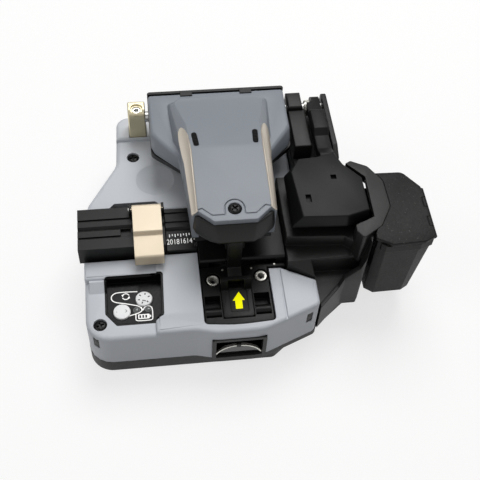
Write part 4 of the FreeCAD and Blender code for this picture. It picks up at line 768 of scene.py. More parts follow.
def makeButton(name, settings):
    radius = settings["radius"]
    top = buttonShape["top"]
    edge = buttonShape["edge"]
    waist, waistTop = radius - buttonShape["waist"], buttonShape["waistTop"]
    profile = [(0, buttonShape["low"]), (waist, buttonShape["low"]), (waist, waistTop), (radius, waistTop),
               (radius, top - edge)]
    profile += [(radius - edge + edge * math.cos(math.radians(turn)),
                 top - edge + edge * math.sin(math.radians(turn)))
                for turn in buttonShape["edgeTurns"]]
    profile += [(radius * share, top + buttonShape["crown"] * (1 - share * share))
                for share in buttonShape["crownShares"]]
    profile.append((0, top + buttonShape["crown"]))
    cap = turned(profile, (settings["x"], settings["y"], 0))
    settle(cap, name + "Button", materials["keyWhite"], settings["body"],
           replaced=(settings["node"],), smooth=35)


def makeButtonIcons():
    lift = buttonShape["print"]
    crown = buttonShape["top"] + buttonShape["crown"] * buttonShape["printCrown"]
    turn = buttons["turn"]
    marks = []
    for angle in dialMarks["angles"]:
        near, far = [(turn["x"] + distance * math.cos(math.radians(angle)),
                      turn["y"] + distance * math.sin(math.radians(angle)))
                     for distance in (dialMarks["near"], dialMarks["far"])]
        middle = tuple((Vector(near) + Vector(far)) / 2)
        marks.append(strokePiece([near, middle, far], dialMarks["line"], crown, crown + lift))
    level = crown + dialMarks["lift"]
    marks.append(strokePiece([(turn["x"] + x, turn["y"] + y) for x, y in dialMarks["dash"]],
                             dialMarks["dashLine"], level, level + lift))
    settle(joinPieces(marks), "turnMarks", materials["printDark"], turn["body"],
           smooth=0)
    link = buttons["link"]
    long, half, corner = chainMarks["long"], chainMarks["half"], chainMarks["corner"]
    loops = []
    for side in (-1, 1):  # two links of a chain
        x = link["x"] + chainMarks["apart"] * side
        y = link["y"] + chainMarks["rise"] * side
        level = crown + chainMarks["step"] * side
        outline = roundedOutline([(x - long, y - half, corner), (x + long, y - half, corner),
                                  (x + long, y + half, corner), (x - long, y + half, corner)])
        loops.append(outlineBand(outline, chainMarks["line"], level, level + lift))
    settle(joinPieces(loops), "linkMarks", materials["printGrey"], link["body"],
           smooth=0)


for name, settings in buttons.items():
    makeButton(name, settings)
makeButtonIcons()
print("buttons:", len(buttons))

# Small lamps beside the buttons
lampDome = {"places": [(-34.0, -28.2), (-30.1, -28.1)], "radius": 0.8, "low": 18.4, "top": 21.1, "dome": 0.3,
            "rim": 1.12, "rimTop": 21.08, "rimLow": 21.0, "rimLine": 0.22, "turns": (20, 40, 60, 75),
            "steps": 32}


def makeLampDomes():
    domes = []
    rims = []
    for x, y in lampDome["places"]:
        radius = lampDome["radius"]
        profile = [(0, lampDome["low"]), (radius, lampDome["low"]), (radius, lampDome["top"])]
        profile += [(radius * math.cos(math.radians(turn)),
                     lampDome["top"] + lampDome["dome"] * math.sin(math.radians(turn)))
                    for turn in lampDome["turns"]]
        profile.append((0, lampDome["top"] + lampDome["dome"]))
        domes.append(turned(profile, (x, y, 0), steps=lampDome["steps"]))
        rims.append(outlineBand(ring(x, y, lampDome["rim"], lampDome["steps"]), lampDome["rimLine"],
                                lampDome["rimLow"], lampDome["rimTop"]))
    settle(joinPieces(domes), "lampDomes", materials["lampGrey"], "base",
           replaced=("status_leds",), smooth=40)
    settle(joinPieces(rims), "lampRims", materials["printGrey"], "base", smooth=0)


makeLampDomes()
print("lamps in the panel")

# Socket-head screws of the front deck
# floor: size share, low and high of the dark sheet of painted shade at the bottom of each hex socket.
socketScrews = {"places": [(-7.5, -20.4), (9.2, -19.9)], "top": 23.9, "low": 21.0, "radius": 2.15,
                "edge": 0.3, "edgeStep": (0.09, 0.1), "lip": 1.62, "dip": (1.5, 0.12), "hexAcross": 1.32,
                "hexDeep": 1.5, "hexTurn": 0.3, "floor": (0.93, 0.01, 0.25), "shank": 1.5, "shankLow": 9.6}


def makeSocketScrews():
    radius, top, edge = socketScrews["radius"], socketScrews["top"], socketScrews["edge"]
    stepIn, stepDown = socketScrews["edgeStep"]
    dip, dipDeep = socketScrews["dip"]
    across = socketScrews["hexAcross"]
    hexFloor = top - socketScrews["hexDeep"]
    screws = []
    for x, y in socketScrews["places"]:
        profile = [(0, socketScrews["shankLow"]), (socketScrews["shank"], socketScrews["shankLow"]),
                   (socketScrews["shank"], socketScrews["low"]), (radius, socketScrews["low"]),
                   (radius, top - edge), (radius - stepIn, top - stepDown), (radius - edge, top),
                   (socketScrews["lip"], top), (dip, top - dipDeep), (0, top - dipDeep)]
        head = turned(profile, (x, y, 0))
        hexagon = outlinePlate(ring(x, y, across, 6, socketScrews["hexTurn"]), hexFloor, top + 1)
        screws.append(cutWith(head, hexagon))
    settle(joinPieces(screws), "socketScrews", materials["screwSteel"], "base",
           replaced=("deck_screws",), smooth=30)
    # A dark glossy hexagon lies on the floor of each hex socket: painted shade, standing in for the shade
    # deep in the socket.
    share, low, high = socketScrews["floor"]
    socketShadeSheets = [outlinePlate(ring(x, y, across * share, 6, socketScrews["hexTurn"]), hexFloor + low,
                            hexFloor + high) for x, y in socketScrews["places"]]
    settle(joinPieces(socketShadeSheets), "socketShadeFloors", materials["windowDark"], "base", smooth=0)


makeSocketScrews()
print("socket screws:", len(socketScrews["places"]))

# Cross-head screws of the covers and of the lever
crossScrews = {
    "coverScrews": {"body": "base", "node": "cover_screws", "radius": 2.15, "deep": 12.0, "shank": 1.05,
                    "places": [(-46.2, -33.6, 22.1, 0.35), (-32.0, 35.0, 25.8, 0.1)]},
    "leverScrew": {"body": "lever", "node": "lever_screw", "radius": 2.2, "deep": 8.0, "shank": 1.1,
                   "places": [(0.0, -11.9, 52.95, 0.6)]},
}
crossHead = {"under": 1.4, "chamfer": 0.35, "side": 0.75, "round": ((0.1, 0.45), (0.5, 0.16)), "crown": 0.03,
             "slotHalf": 1.35, "slotWide": 0.34, "slotDeep": 0.85}


def makeCrossScrews(name, settings):
    screws = []
    for x, y, top, turn in settings["places"]:
        radius, under = settings["radius"], crossHead["under"]
        profile = [(0, top - settings["deep"]), (settings["shank"], top - settings["deep"]),
                   (settings["shank"], top - under), (radius - crossHead["chamfer"], top - under),
                   (radius, top - crossHead["side"])]
        profile += [(radius - step, top - drop) for step, drop in crossHead["round"]]
        profile += [(radius * 0.5, top - crossHead["crown"]), (0, top)]
        head = turned(profile, (x, y, 0), steps=40)
        for quarter in (0, math.pi / 2):
            along = Vector((math.cos(turn + quarter), math.sin(turn + quarter)))
            across = Vector((-along.y, along.x))
            corners = [along * a * crossHead["slotHalf"] + across * b * crossHead["slotWide"]
                       for a, b in ((1, 1), (-1, 1), (-1, -1), (1, -1))]
            slot = outlinePlate([(x + corner.x, y + corner.y) for corner in corners],
                                top - crossHead["slotDeep"], top + 1)
            head = cutWith(head, slot)
        screws.append(head)
    settle(joinPieces(screws), name, materials["screwBlack"], settings["body"],
           replaced=(settings["node"],), smooth=30)


for name, settings in crossScrews.items():
    makeCrossScrews(name, settings)
print("cross screws:", len(crossScrews))

# Ribbed rubber in the lever's two ovals
grips = {"places": (-10.1, 10.0), "y": 17.4, "reach": 3.5, "half": 0.95, "lean": 0.5, "floor": 53.6,
         "ribs": 9, "inset": 0.06, "round": 0.98, "deep": 0.7, "ribSides": (1.75, 0.36, 0.5), "ribSoft": 0.12}
gripLow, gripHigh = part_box("lever_inserts")
gripY = (millimetres(gripLow)[1] + millimetres(gripHigh)[1]) / 2


def ovalOutline(x, y, grow):
    half = grips["half"] + grow
    lean = grips["lean"] * (1 if x > 0 else -1)
    front, rear, corner = y - grips["reach"], y + grips["reach"], half * grips["round"]
    return roundedOutline([(x - half, front, corner), (x + half, front, corner),
                           (x + half + lean, rear, corner), (x - half + lean, rear, corner)])


def makeGrips():
    pads = []
    half = grips["half"] - grips["inset"]
    share, ribDeep, ribHigh = grips["ribSides"]
    ribSides = [side * millimetre for side in (half * share, ribDeep, ribHigh)]
    for x in grips["places"]:
        lean = grips["lean"] * (1 if x > 0 else -1)
        front = gripY - grips["reach"]
        rear = gripY + grips["reach"]
        pads.append(outlinePlate(ovalOutline(x, gripY, -grips["inset"]), grips["floor"] - grips["deep"],
                                 grips["floor"]))
        for step in range(grips["ribs"]):
            share = (step + 1) / (grips["ribs"] + 1)
            middle = x + lean * share
            y = front + (rear - front) * share
            rib = addPrimitive("cube", size=1, location=at(middle, y, grips["floor"]), scale=ribSides)
            bpy.ops.object.transform_apply(location=True, rotation=True, scale=True)
            pads.append(softenEdges(rib, grips["ribSoft"], 2))
    settle(joinPieces(pads), "gripRibs", materials["rubber"], "lever",
           replaced=("lever_inserts",), smooth=40)


makeGrips()
print("rubber grips")

# Black clips in the snap windows of the skirt
clips = {"places": [(24.6, -34.6, -68.0), (-48.0, -37.8, -129.0)], "low": 15.15, "high": 20.65, "half": 1.05,
         "back": 0.25, "thick": 0.8, "inset": 0.35, "dent": 0.3, "soft": 0.12}


def makeClips():
    made = []
    for x, y, facing in clips["places"]:
        turn = math.radians(facing)
        out = Vector((math.cos(turn), math.sin(turn)))
        centre = Vector((x, y)) - out * (clips["back"] + clips["thick"] / 2)
        sides = (clips["thick"], 2 * clips["half"], clips["high"] - clips["low"])
        clip = addPrimitive("cube", size=1, rotation=(0, 0, turn),
                            location=at(centre.x, centre.y, (clips["low"] + clips["high"]) / 2),
                            scale=[side * millimetre for side in sides])
        bpy.ops.object.transform_apply(location=True, rotation=True, scale=True)
        bpy.ops.object.mode_set(mode="EDIT")
        mesh = bmesh.from_edit_mesh(clip.data)
        facingOut = Vector((out.x, out.y, 0))
        for face in mesh.faces:
            face.select_set(face.normal.dot(facingOut) > 0.9)
        bmesh.update_edit_mesh(clip.data)
        bpy.ops.mesh.inset(thickness=clips["inset"] * millimetre)
        bpy.ops.transform.translate(value=-facingOut * clips["dent"] * millimetre)
        editDone()
        made.append(softenEdges(clip, clips["soft"], 2))
    settle(joinPieces(made), "snapClips", materials["deckBlack"], "base", smooth=35)


makeClips()
print("snap clips")

# Steel pins that show at the rear of the front deck
pins = {"places": [(-3.8, -16.6), (6.2, -16.7), (14.4, -15.6)], "top": 24.25, "low": 22.5, "radius": 0.42,
        "edge": [(0.0, 0.15), (0.1, 0.03)]}


def makePins():
    made = []
    for x, y in pins["places"]:
        radius = pins["radius"]
        profile = [(0, pins["low"]), (radius, pins["low"])]
        profile += [(radius - step, pins["top"] - drop) for step, drop in pins["edge"]]
        profile.append((0, pins["top"]))
        made.append(turned(profile, (x, y, 0), steps=20))
    settle(joinPieces(made), "deckPins", materials["screwSteel"], "base", smooth=40)


makePins()
print("deck pins")

# The bright arc in the window: a sprung steel strip with a post at its middle
windowArc = {"radius": 8.35, "thick": 0.5, "front": -40.55, "rear": -39.6, "centreX": -0.3, "centreZ": 4.7,
             "start": 18, "gap": 5, "steps": 18, "postY": -40.2, "postZ": 13.6, "post": (1.5, 1.6, 2.0)}


def makeWindowArc():
    strips = []
    for first, last in ((windowArc["start"], 90 - windowArc["gap"]),
                        (90 + windowArc["gap"], 180 - windowArc["start"])):
        path = arcPath(windowArc["centreX"], windowArc["centreZ"], windowArc["radius"], first, last,
                       windowArc["steps"])
        outline = strokePath(path, windowArc["thick"])
        strip = outlineSheet(outline, 0)
        for vertex, (x, z) in zip(strip.data.vertices, outline):
            vertex.co = at(x, windowArc["front"], z)
        editAll(strip)
        bpy.ops.mesh.extrude_region_move(
            TRANSFORM_OT_translate={"value": (0, (windowArc["rear"] - windowArc["front"]) * millimetre, 0)})
        bpy.ops.mesh.select_all(action="SELECT")
        bpy.ops.mesh.normals_make_consistent(inside=False)
        editDone()
        strips.append(strip)
    settle(joinPieces(strips), "windowArc", materials["brightSteel"], "base",
           replaced=("window_rim",), smooth=40)
    place = at(windowArc["centreX"], windowArc["postY"], windowArc["postZ"])
    post = addPrimitive("cube", size=1, location=place,
                        scale=[side * millimetre for side in windowArc["post"]])
    bpy.ops.object.transform_apply(location=True, rotation=True, scale=True)
    settle(softenEdges(post, 0.2, 2), "windowPost", materials["shellBlack"], "base",
           smooth=40)


makeWindowArc()
print("window arc")

# The wound spring on the hinge shaft
springLow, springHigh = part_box("arm_spring")
springSettings = {"wire": 0.28, "coil": 2.75, "turns": 4, "steps": 36, "sides": 10}


def makeSpring():
    left = millimetres(springLow)
    right = millimetres(springHigh)
    y = (left[1] + right[1]) / 2
    z = (left[2] + right[2]) / 2
    wire = springSettings["wire"]
    length = right[0] - left[0] - 2 * wire
    profile = addPrimitive("circle", vertices=springSettings["sides"], radius=wire * millimetre,
                           location=at(left[0] + wire, y, z + springSettings["coil"]), rotation=(0, 0, 0))
    bpy.ops.object.transform_apply(location=False, rotation=True, scale=True)
    bpy.ops.object.transform_apply(location=True, rotation=False, scale=False)
    pivot = bpy.data.objects.new("springAxis", None)
    bpy.context.collection.objects.link(pivot)
    pivot.location = at(left[0] + wire, y, z)
    bpy.context.view_layer.update()
    modifier = profile.modifiers.new("winding", "SCREW")
    modifier.axis = "X"
    modifier.object = pivot
    modifier.steps = modifier.render_steps = springSettings["steps"]
    modifier.iterations = springSettings["turns"]
    modifier.screw_offset = length / springSettings["turns"] * millimetre
    modifier.angle = math.tau
    # the wire's section stands across the winding
    for vertex, (a, b) in zip(profile.data.vertices, ring(0, 0, wire, springSettings["sides"])):
        vertex.co = at(left[0] + wire + a, y, z + springSettings["coil"] + b)
    applyModifiers(profile)
    bpy.data.objects.remove(pivot)
    editAll(profile)
    bpy.ops.mesh.select_all(action="DESELECT")
    bpy.ops.mesh.select_non_manifold()
    bpy.ops.mesh.edge_face_add()
    bpy.ops.mesh.select_all(action="SELECT")
    bpy.ops.mesh.normals_make_consistent(inside=False)
    editDone()
    settle(profile, "woundSpring", materials["brightSteel"], "base",
           replaced=("arm_spring",), smooth=60)


makeSpring()
print("wound spring")

# Forms of the rigid pieces, shaped from outlines
def boxPiece(left, right, front, rear, low, high):
    piece = addPrimitive("cube", size=1, location=at((left + right) / 2, (front + rear) / 2,
                                                     (low + high) / 2),
                         scale=((right - left) * millimetre, (rear - front) * millimetre,
                                (high - low) * millimetre))
    bpy.ops.object.transform_apply(location=True, rotation=True, scale=True)
    return piece


def prism(corners, low, high):
    return outlinePlate(roundedOutline([(*corner, 0)[:3] for corner in corners]), low, high)


def sidePrism(corners, left, right):
    # An outline in (y, z) drawn out along x.
    points = roundedOutline([(*corner, 0)[:3] for corner in corners])
    return raiseSheet(outlineFace(points, lambda y, z: at(left, y, z)), (right - left, 0, 0))


def frontPrism(corners, front, rear):
    # An outline in (x, z) drawn out along y.
    points = roundedOutline([(*corner, 0)[:3] for corner in corners])
    return raiseSheet(outlineFace(points, lambda x, z: at(x, front, z)), (0, rear - front, 0))


def loft(rings):
    # A solid through rings of corners, each ring a list of (x, y, z).
    loops = []
    for points in rings:
        loop = addPrimitive("circle", vertices=len(points), radius=0.01, fill_type="NOTHING")
        for vertex, point in zip(loop.data.vertices, points):
            vertex.co = at(*point)
        loops.append(loop)
    piece = joinPieces(loops)
    count = len(rings[0])
    selectOnly(piece)
    bpy.ops.object.mode_set(mode="EDIT")
    bpy.ops.mesh.select_mode(type="EDGE")
    for step in range(len(rings) - 1):
        mesh = bmesh.from_edit_mesh(piece.data)
        for edge in mesh.edges:
            inside = {vertex.index // count for vertex in edge.verts}
            edge.select_set(inside == {step} or inside == {step + 1})
        bmesh.update_edit_mesh(piece.data)
        bpy.ops.mesh.bridge_edge_loops()
    bpy.ops.mesh.select_all(action="SELECT")
    bpy.ops.mesh.fill_holes(sides=0)
    bpy.ops.mesh.select_all(action="SELECT")
    bpy.ops.mesh.normals_make_consistent(inside=False)
    editDone()
    return piece


def planRing(points, height):
    return [(x, y, height) for x, y in points]


def crossRing(points, y):
    return [(x, y, z) for x, z in points]


def mirrored(points):
    return points + [(-x, y) for x, y in reversed(points)]


def shrunk(points, amount):
    centreX = sum(x for x, y in points) / len(points)
    centreY = sum(y for x, y in points) / len(points)
    drawn = []
    for x, y in points:
        reach = math.hypot(x - centreX, y - centreY)
        share = (reach - amount) / reach
        drawn.append((centreX + (x - centreX) * share, centreY + (y - centreY) * share))
    return drawn


def isClosed(piece):
    mesh = bmesh.new()
    mesh.from_mesh(piece.data)
    closed = all(len(edge.link_faces) == 2 for edge in mesh.edges)
    mesh.free()
    return closed


def combine(piece, other, operation):
    modifier = piece.modifiers.new("shaped", "BOOLEAN")
    modifier.operation = operation
    modifier.solver = "MANIFOLD" if isClosed(piece) and isClosed(other) else "EXACT"
    modifier.object = other
    applyModifiers(piece)
    bpy.data.objects.remove(other)
    return piece


def unite(pieces):
    whole = pieces[0]
    for other in pieces[1:]:
        whole = combine(whole, other, "UNION")
    return whole


def cutAll(piece, cutters):
    for cutter in cutters:
        piece = combine(piece, cutter, "DIFFERENCE")
    return piece


def pinX(left, right, y, z, radius):
    return turned([(0, left), (radius, left), (radius, right), (0, right)], (0, y, z), axis=(1, 0, 0))


def pinY(front, rear, x, z, radius):
    return turned([(0, front), (radius, front), (radius, rear), (0, rear)], (x, 0, z), axis=(0, 1, 0))


def pinZ(low, high, x, y, radius):
    return turned([(0, low), (radius, low), (radius, high), (0, high)], (x, y, 0))


# Lever: its grey cover
hinge = {"y": 46.0, "z": 36.0, "barrel": 4.0}
leverForm = {
    "half": 25.3, "rear": 50.5, "under": 36.0, "frameTop": 38.0, "wingTop": 44.0, "crest": 54.8,
    "noseTop": 52.4, "noseUnder": 42.5, "front": -12.0,
    "bridge": [(44.2, 18.3, 43.8, 17.4, 44.0, 13.4, 44.2), (43.0, 18.3, 44.0, 17.0, 45.6, 13.6, 47.4),
               (40.0, 18.2, 44.0, 17.4, 46.6, 16.0, 48.4), (26.0, 17.4, 44.0, 15.9, 49.5, 12.9, 52.4),
               (19.0, 15.1, 44.0, 14.8, 50.6, 12.0, 53.4)],
    "arm": [(26.0, 15.9, 49.5, 12.9, 52.4), (12.0, 15.0, 51.2, 12.0, 54.8), (-12.0, 13.9, 49.8, 12.0, 52.4)],
    "trim": [(25.4, 0.30, 0.55), (23.8, 0.10, 0.80), (20.0, 0.0, 1.0), (12.0, 0.02, 1.0), (9.0, 0.12, 1.0),
             (-12.0, 0.12, 1.0)],
    "trimThick": 0.5, "trimSunk": 0.6, "trimSoft": 0.14,
    "wingFoot": [(25.3, 49.3), (25.3, 28.0), (24.2, 25.0), (15.6, 16.6), (15.0, 10.0)],
    "wingFace": [(25.1, 49.1), (24.9, 30.8), (23.3, 28.0), (16.6, 19.0), (15.0, 10.0)],
    "tip": [(-12.0, -11.5), (-11.9, -12.0), (-7.0, -16.5, 0.6), (7.0, -16.5, 0.6), (11.9, -12.0),
            (12.0, -11.5)],
    "line": [(-13.5, -11.8), (-10.6, -10.8, 0.5), (-7.4, -13.8, 0.5), (-3.4, -13.8, 0.3), (-3.4, -8.2, 3.3),
             (3.4, -8.2, 3.3), (3.4, -13.8, 0.3), (6.8, -13.8, 0.5), (10.0, -10.9, 0.5), (13.5, -11.8),
             (7.0, -18.0), (-7.0, -18.0)],
    "lineWide": 0.34, "lineDeep": 0.25, "screwY": -11.9, "screwWell": 2.3, "screwDeep": 0.9,
    "softEdge": 0.45, "wingSoft": 1.1, "tipThick": 2.0, "barrelGap": 0.15,
}


def makeLeverCover():
    floor = leverForm["frameTop"]
    bridge = loft([crossRing(mirrored([(side, floor), (side, sideZ), (shoulder, shoulderZ), (top, topZ)]), y)
                   for y, side, sideZ, shoulder, shoulderZ, top, topZ in leverForm["bridge"]])
    arm = loft([crossRing(mirrored([(side, floor), (side, sideZ), (top, topZ)]), y)
                for y, side, sideZ, top, topZ in leverForm["arm"]])
    wings = loft([planRing(mirrored(leverForm["wingFoot"]), floor),
                  planRing(mirrored(leverForm["wingFace"]), leverForm["wingTop"])])
    wings = softenEdges(wings, leverForm["wingSoft"], 3, 50)
    tip = prism(leverForm["tip"], leverForm["noseTop"] - leverForm["tipThick"], leverForm["noseTop"])
    body = unite([arm, bridge, tip])
    body = softenEdges(body, leverForm["softEdge"], 3, 18)
    body = combine(body, wings, "UNION")
    band = outlineBand(roundedOutline([(*corner, 0)[:3] for corner in leverForm["line"]]),
                       leverForm["lineWide"], leverForm["noseTop"] - leverForm["lineDeep"],
                       leverForm["crest"] + 1)
    cutters = [band, pinZ(leverForm["noseTop"] - leverForm["screwDeep"], leverForm["crest"] + 1, 0,
                          leverForm["screwY"], leverForm["screwWell"])]
    cutters += [outlinePlate(ovalOutline(x, grips["y"], 0), grips["floor"] - grips["deep"],
                             leverForm["crest"] + 2) for x in grips["places"]]
    cutters.append(pinX(-leverForm["half"] - 1, leverForm["half"] + 1, hinge["y"], hinge["z"],
                        hinge["barrel"] + leverForm["barrelGap"]))
    body = cutAll(body, cutters)
    settle(body, "leverShell", materials["leverGrey"], "lever",
           replaced=("lever_cover",), smooth=25)


def bevelAt(y):
    # Lower and upper edge of the arm's bevel at y.
    for (back, *rear), (front, *fore) in zip(leverForm["arm"], leverForm["arm"][1:]):
        if y >= front:
            share = (back - y) / (back - front)
            side, sideZ, top, topZ = [start + (end - start) * share for start, end in zip(rear, fore)]
            return (side, sideZ), (top, topZ)


def makeTrim(name, side):
    rings = []
    for y, low, high in leverForm["trim"]:
        (sideX, sideZ), (topX, topZ) = bevelAt(y)
        run = math.hypot(topX - sideX, topZ - sideZ)
        out = ((topZ - sideZ) / run * leverForm["trimThick"], (sideX - topX) / run * leverForm["trimThick"])
        base = [(sideX + (topX - sideX) * share, sideZ + (topZ - sideZ) * share) for share in (low, high)]
        sunk = [(x - out[0] * leverForm["trimSunk"], z - out[1] * leverForm["trimSunk"]) for x, z in base]
        lifted = [(x + out[0], z + out[1]) for x, z in reversed(base)]
        rings.append(crossRing([(side * x, z) for x, z in sunk + lifted], y))
    strip = softenEdges(loft(rings), leverForm["trimSoft"], 2, 30)
    settle(strip, name, materials["trimGold"], "lever",
           replaced=("lever_trim_" + ("left" if side < 0 else "right"),), smooth=30)


makeLeverCover()
makeTrim("trimStripLeft", -1)
makeTrim("trimStripRight", 1)
print("lever cover and its trims")

# Lever: the black frame with the nose, the barrel and the crank
frameForm = {
    "plan": [(25.3, 50.5, 1.5), (-25.3, 50.5, 1.5), (-25.3, 26.0, 3.0), (-13.8, 16.0, 2.0), (-12.9, -12.0),
             (12.9, -12.0), (13.8, 16.0, 2.0), (25.3, 26.0, 3.0)],
    "nose": [([(13.3, -12.0), (12.6, -13.8), (8.4, -17.2), (5.4, -18.6)], 42.5),
             ([(13.8, -12.0), (13.0, -14.3), (8.8, -18.0), (5.6, -19.4)], 44.1),
             ([(13.2, -12.0), (12.2, -13.2), (8.6, -15.8), (6.8, -16.9)], 50.4)],
    "crankY": 49.42, "crankZ": 26.60, "crank": (3.2, 6.0), "pinRadius": 1.25, "yokeHalf": 2.5, "bore": 2.05,
    "backThick": 1.15, "tabs": (-13.2, 8.8), "tabWide": 4.4, "tabDepth": (3.0, 0.5), "tabRise": (0.2, 0.4),
    "chin": (-11.7, 11.7, -12.01, -10.5), "sunk": 0.1, "crankEnd": 1.3, "crankRoot": 2.8,
    "crankTip": (2.0, 1.4), "pinReach": (0.2, 0.5),
}


def makeLeverFrame():
    under = leverForm["under"]
    top = leverForm["frameTop"]
    rear = leverForm["rear"]
    wing = leverForm["wingTop"]
    plate = prism(frameForm["plan"], under, top)
    half, inner = leverForm["half"], rear - frameForm["backThick"]
    back = prism([(half, rear, 1.0), (-half, rear, 1.0), (-half, inner), (half, inner)], under, wing)
    tabFront, tabRear = frameForm["tabDepth"]
    tabDown, tabUp = frameForm["tabRise"]
    tabs = [boxPiece(left, left + frameForm["tabWide"], rear - tabFront, rear - tabRear, wing - tabDown,
                     wing + tabUp) for left in frameForm["tabs"]]
    barrel = pinX(-leverForm["half"], leverForm["half"], hinge["y"], hinge["z"], hinge["barrel"])
    nose = softenEdges(loft([planRing(mirrored(points), height) for points, height in frameForm["nose"]]),
                       0.4, 3, 18)
    sunk = frameForm["sunk"]
    chin = boxPiece(*frameForm["chin"], top - sunk, leverForm["noseUnder"] + sunk)
    crankY, crankZ = frameForm["crankY"], frameForm["crankZ"]
    along = Vector((crankY - hinge["y"], crankZ - hinge["z"])).normalized()
    across = Vector((-along.y, along.x))
    end = Vector((crankY, crankZ)) + along * frameForm["crankEnd"]
    root = Vector((hinge["y"], hinge["z"])) + along * (hinge["barrel"] - 1)
    wide, (tip, corner) = frameForm["crankRoot"], frameForm["crankTip"]
    crank = sidePrism([tuple(root + across * wide), (*(end + across * tip), corner),
                       (*(end - across * tip), corner), tuple(root - across * wide)], *frameForm["crank"])
    left, right = frameForm["pinReach"]
    pin = pinX(-frameForm["yokeHalf"] + left, frameForm["crank"][0] + right, crankY, crankZ,
               frameForm["pinRadius"])
    body = unite([plate, back, barrel, chin, crank, pin, nose] + tabs)
    body = cutAll(body, [pinX(-leverForm["half"] - 1, leverForm["half"] + 1, hinge["y"], hinge["z"],
                              frameForm["bore"])])
    settle(body, "leverFrameNose", materials["noseBlack"], "lever",
           replaced=("lever_frame",), smooth=25)


makeLeverFrame()
print("lever frame and nose")

# Hook under the nose
hookForm = {
    "plate": 3.2, "plateFront": -16.8, "plateRear": -14.0, "plateUnder": 36.5,
    "half": 2.4, "front": -18.0, "rear": -15.2, "under": 25.0, "sunk": 0.2, "edge": 0.25,
    "toe": [(-21.5, 25.0), (-15.2, 25.0), (-15.2, 28.5), (-18.4, 27.0), (-21.5, 26.7)],
}


def makeHook():
    half = hookForm["half"]
    top = leverForm["noseUnder"] + hookForm["sunk"]
    plate = boxPiece(-hookForm["plate"], hookForm["plate"], hookForm["plateFront"], hookForm["plateRear"],
                     hookForm["plateUnder"], top)
    shank = boxPiece(-half, half, hookForm["front"], hookForm["rear"], hookForm["under"], top)
    toe = sidePrism(hookForm["toe"], -half, half)
    body = joinPieces([softenEdges(part, hookForm["edge"], 2, 30) for part in (plate, shank, toe)])
    settle(body, "noseHook", materials["metalBlack"], "lever",
           replaced=("latch_hook",), smooth=30)


makeHook()
print("hook")

# The collector's arm
armForm = {
    "base": 38.5, "top": 44.0,
    "foot": [(24.8, 15.0), (20.3, 10.4), (20.0, -11.3), (38.9, -12.2), (46.9, -9.9), (46.9, 4.9),
             (41.4, 11.3), (39.0, 17.2), (32.4, 15.4)],
    "face": [(25.6, 14.4), (22.2, 8.8), (23.5, -10.8), (38.5, -11.7), (46.4, -9.5), (46.4, 4.4), (40.8, 11.0),
             (38.6, 16.6), (32.4, 14.9)],
    "neck": [(14.0, 38.5), (14.0, 43.8), (16.8, 43.8, 1.0), (20.0, 42.0, 3.0), (26.6, 41.6, 1.0),
             (28.8, 43.6, 1.2), (38.0, 43.6, 1.2), (39.6, 40.6, 0.8), (48.0, 40.0, 2.0), (49.8, 36.0, 1.0),
             (46.0, 35.0), (38.0, 38.5, 2.0)],
    "neckLeft": 33.7, "neckRight": 39.0, "springRight": 35.9, "bore": 2.05,
    "holes": [(36.6, 5.4, 1.9, 1.9), (26.5, -3.2, 1.8, 3.2)],
    "rollerX": 29.0, "rollerZ": 34.6, "journal": 1.25, "cheeks": (-6.0, 5.2), "cheekThick": 0.8,
    "step": 1.2, "wall": (2.2, 2.0), "roof": 1.8, "cheekHalf": 2.6, "cheekUnder": 2.4, "axleHalf": 7.2,
    "holeDeep": 1.3, "clearance": 0.4,
}


def makeArm():
    base, top = armForm["base"], armForm["top"]
    foot, face = armForm["foot"], armForm["face"]
    shell = loft([planRing(foot, base), planRing(foot, base + armForm["step"]), planRing(face, top)])
    shell = softenEdges(shell, 0.35, 3, 18)
    lowWall, highWall = armForm["wall"]
    hollow = loft([planRing(shrunk(foot, lowWall), base - 1),
                   planRing(shrunk(face, highWall), top - armForm["roof"])])
    shell = combine(shell, hollow, "DIFFERENCE")
    neck = softenEdges(sidePrism(armForm["neck"], armForm["neckLeft"], armForm["neckRight"]), 0.3, 2, 50)
    neck = cutAll(neck, [pinX(armForm["neckLeft"] - 1, armForm["springRight"], hinge["y"], hinge["z"],
                              hinge["barrel"] + armForm["clearance"])])
    knuckle = pinX(armForm["springRight"], armForm["neckRight"], hinge["y"], hinge["z"], hinge["barrel"])
    middle, reach = armForm["rollerX"], armForm["cheekHalf"]
    cheeks = [boxPiece(middle - reach, middle + reach, front, front + armForm["cheekThick"],
                       armForm["rollerZ"] - armForm["cheekUnder"], top - 1.0) for front in armForm["cheeks"]]
    body = unite([shell, neck, knuckle] + cheeks)
    holes = [boxPiece(x - wide / 2, x + wide / 2, y - deep / 2, y + deep / 2, top - armForm["holeDeep"],
                      top + 1)
             for x, y, wide, deep in armForm["holes"]]
    holes.append(pinX(armForm["neckLeft"] - 1, armForm["neckRight"] + 1, hinge["y"], hinge["z"],
                      armForm["bore"]))
    holes.append(pinY(-armForm["axleHalf"], armForm["axleHalf"], middle, armForm["rollerZ"],
                      armForm["journal"]))
    body = cutAll(body, holes)
    settle(body, "armShell", materials["armBlack"], "arm",
           replaced=("arm_cover",), smooth=25)


makeArm()
print("collector's arm")

# Outlines drawn in or out, and rounded top edges
def insetPlate(corners, depth, low, high):
    # The outline drawn in by depth, or out where depth is negative.
    piece = outlineSheet(roundedOutline([(*corner, 0)[:3] for corner in corners]), low)
    editAll(piece)
    bpy.ops.mesh.select_mode(type="FACE")
    bpy.ops.mesh.select_all(action="SELECT")
    bpy.ops.mesh.inset(thickness=abs(depth) * millimetre, use_even_offset=True, use_outset=depth < 0)
    if depth > 0:
        bpy.ops.mesh.select_all(action="INVERT")
        bpy.ops.mesh.delete(type="FACE")
    else:
        bpy.ops.mesh.select_all(action="SELECT")
        bpy.ops.mesh.dissolve_faces()
    editDone()
    return raiseSheet(piece, (0, 0, high - low))


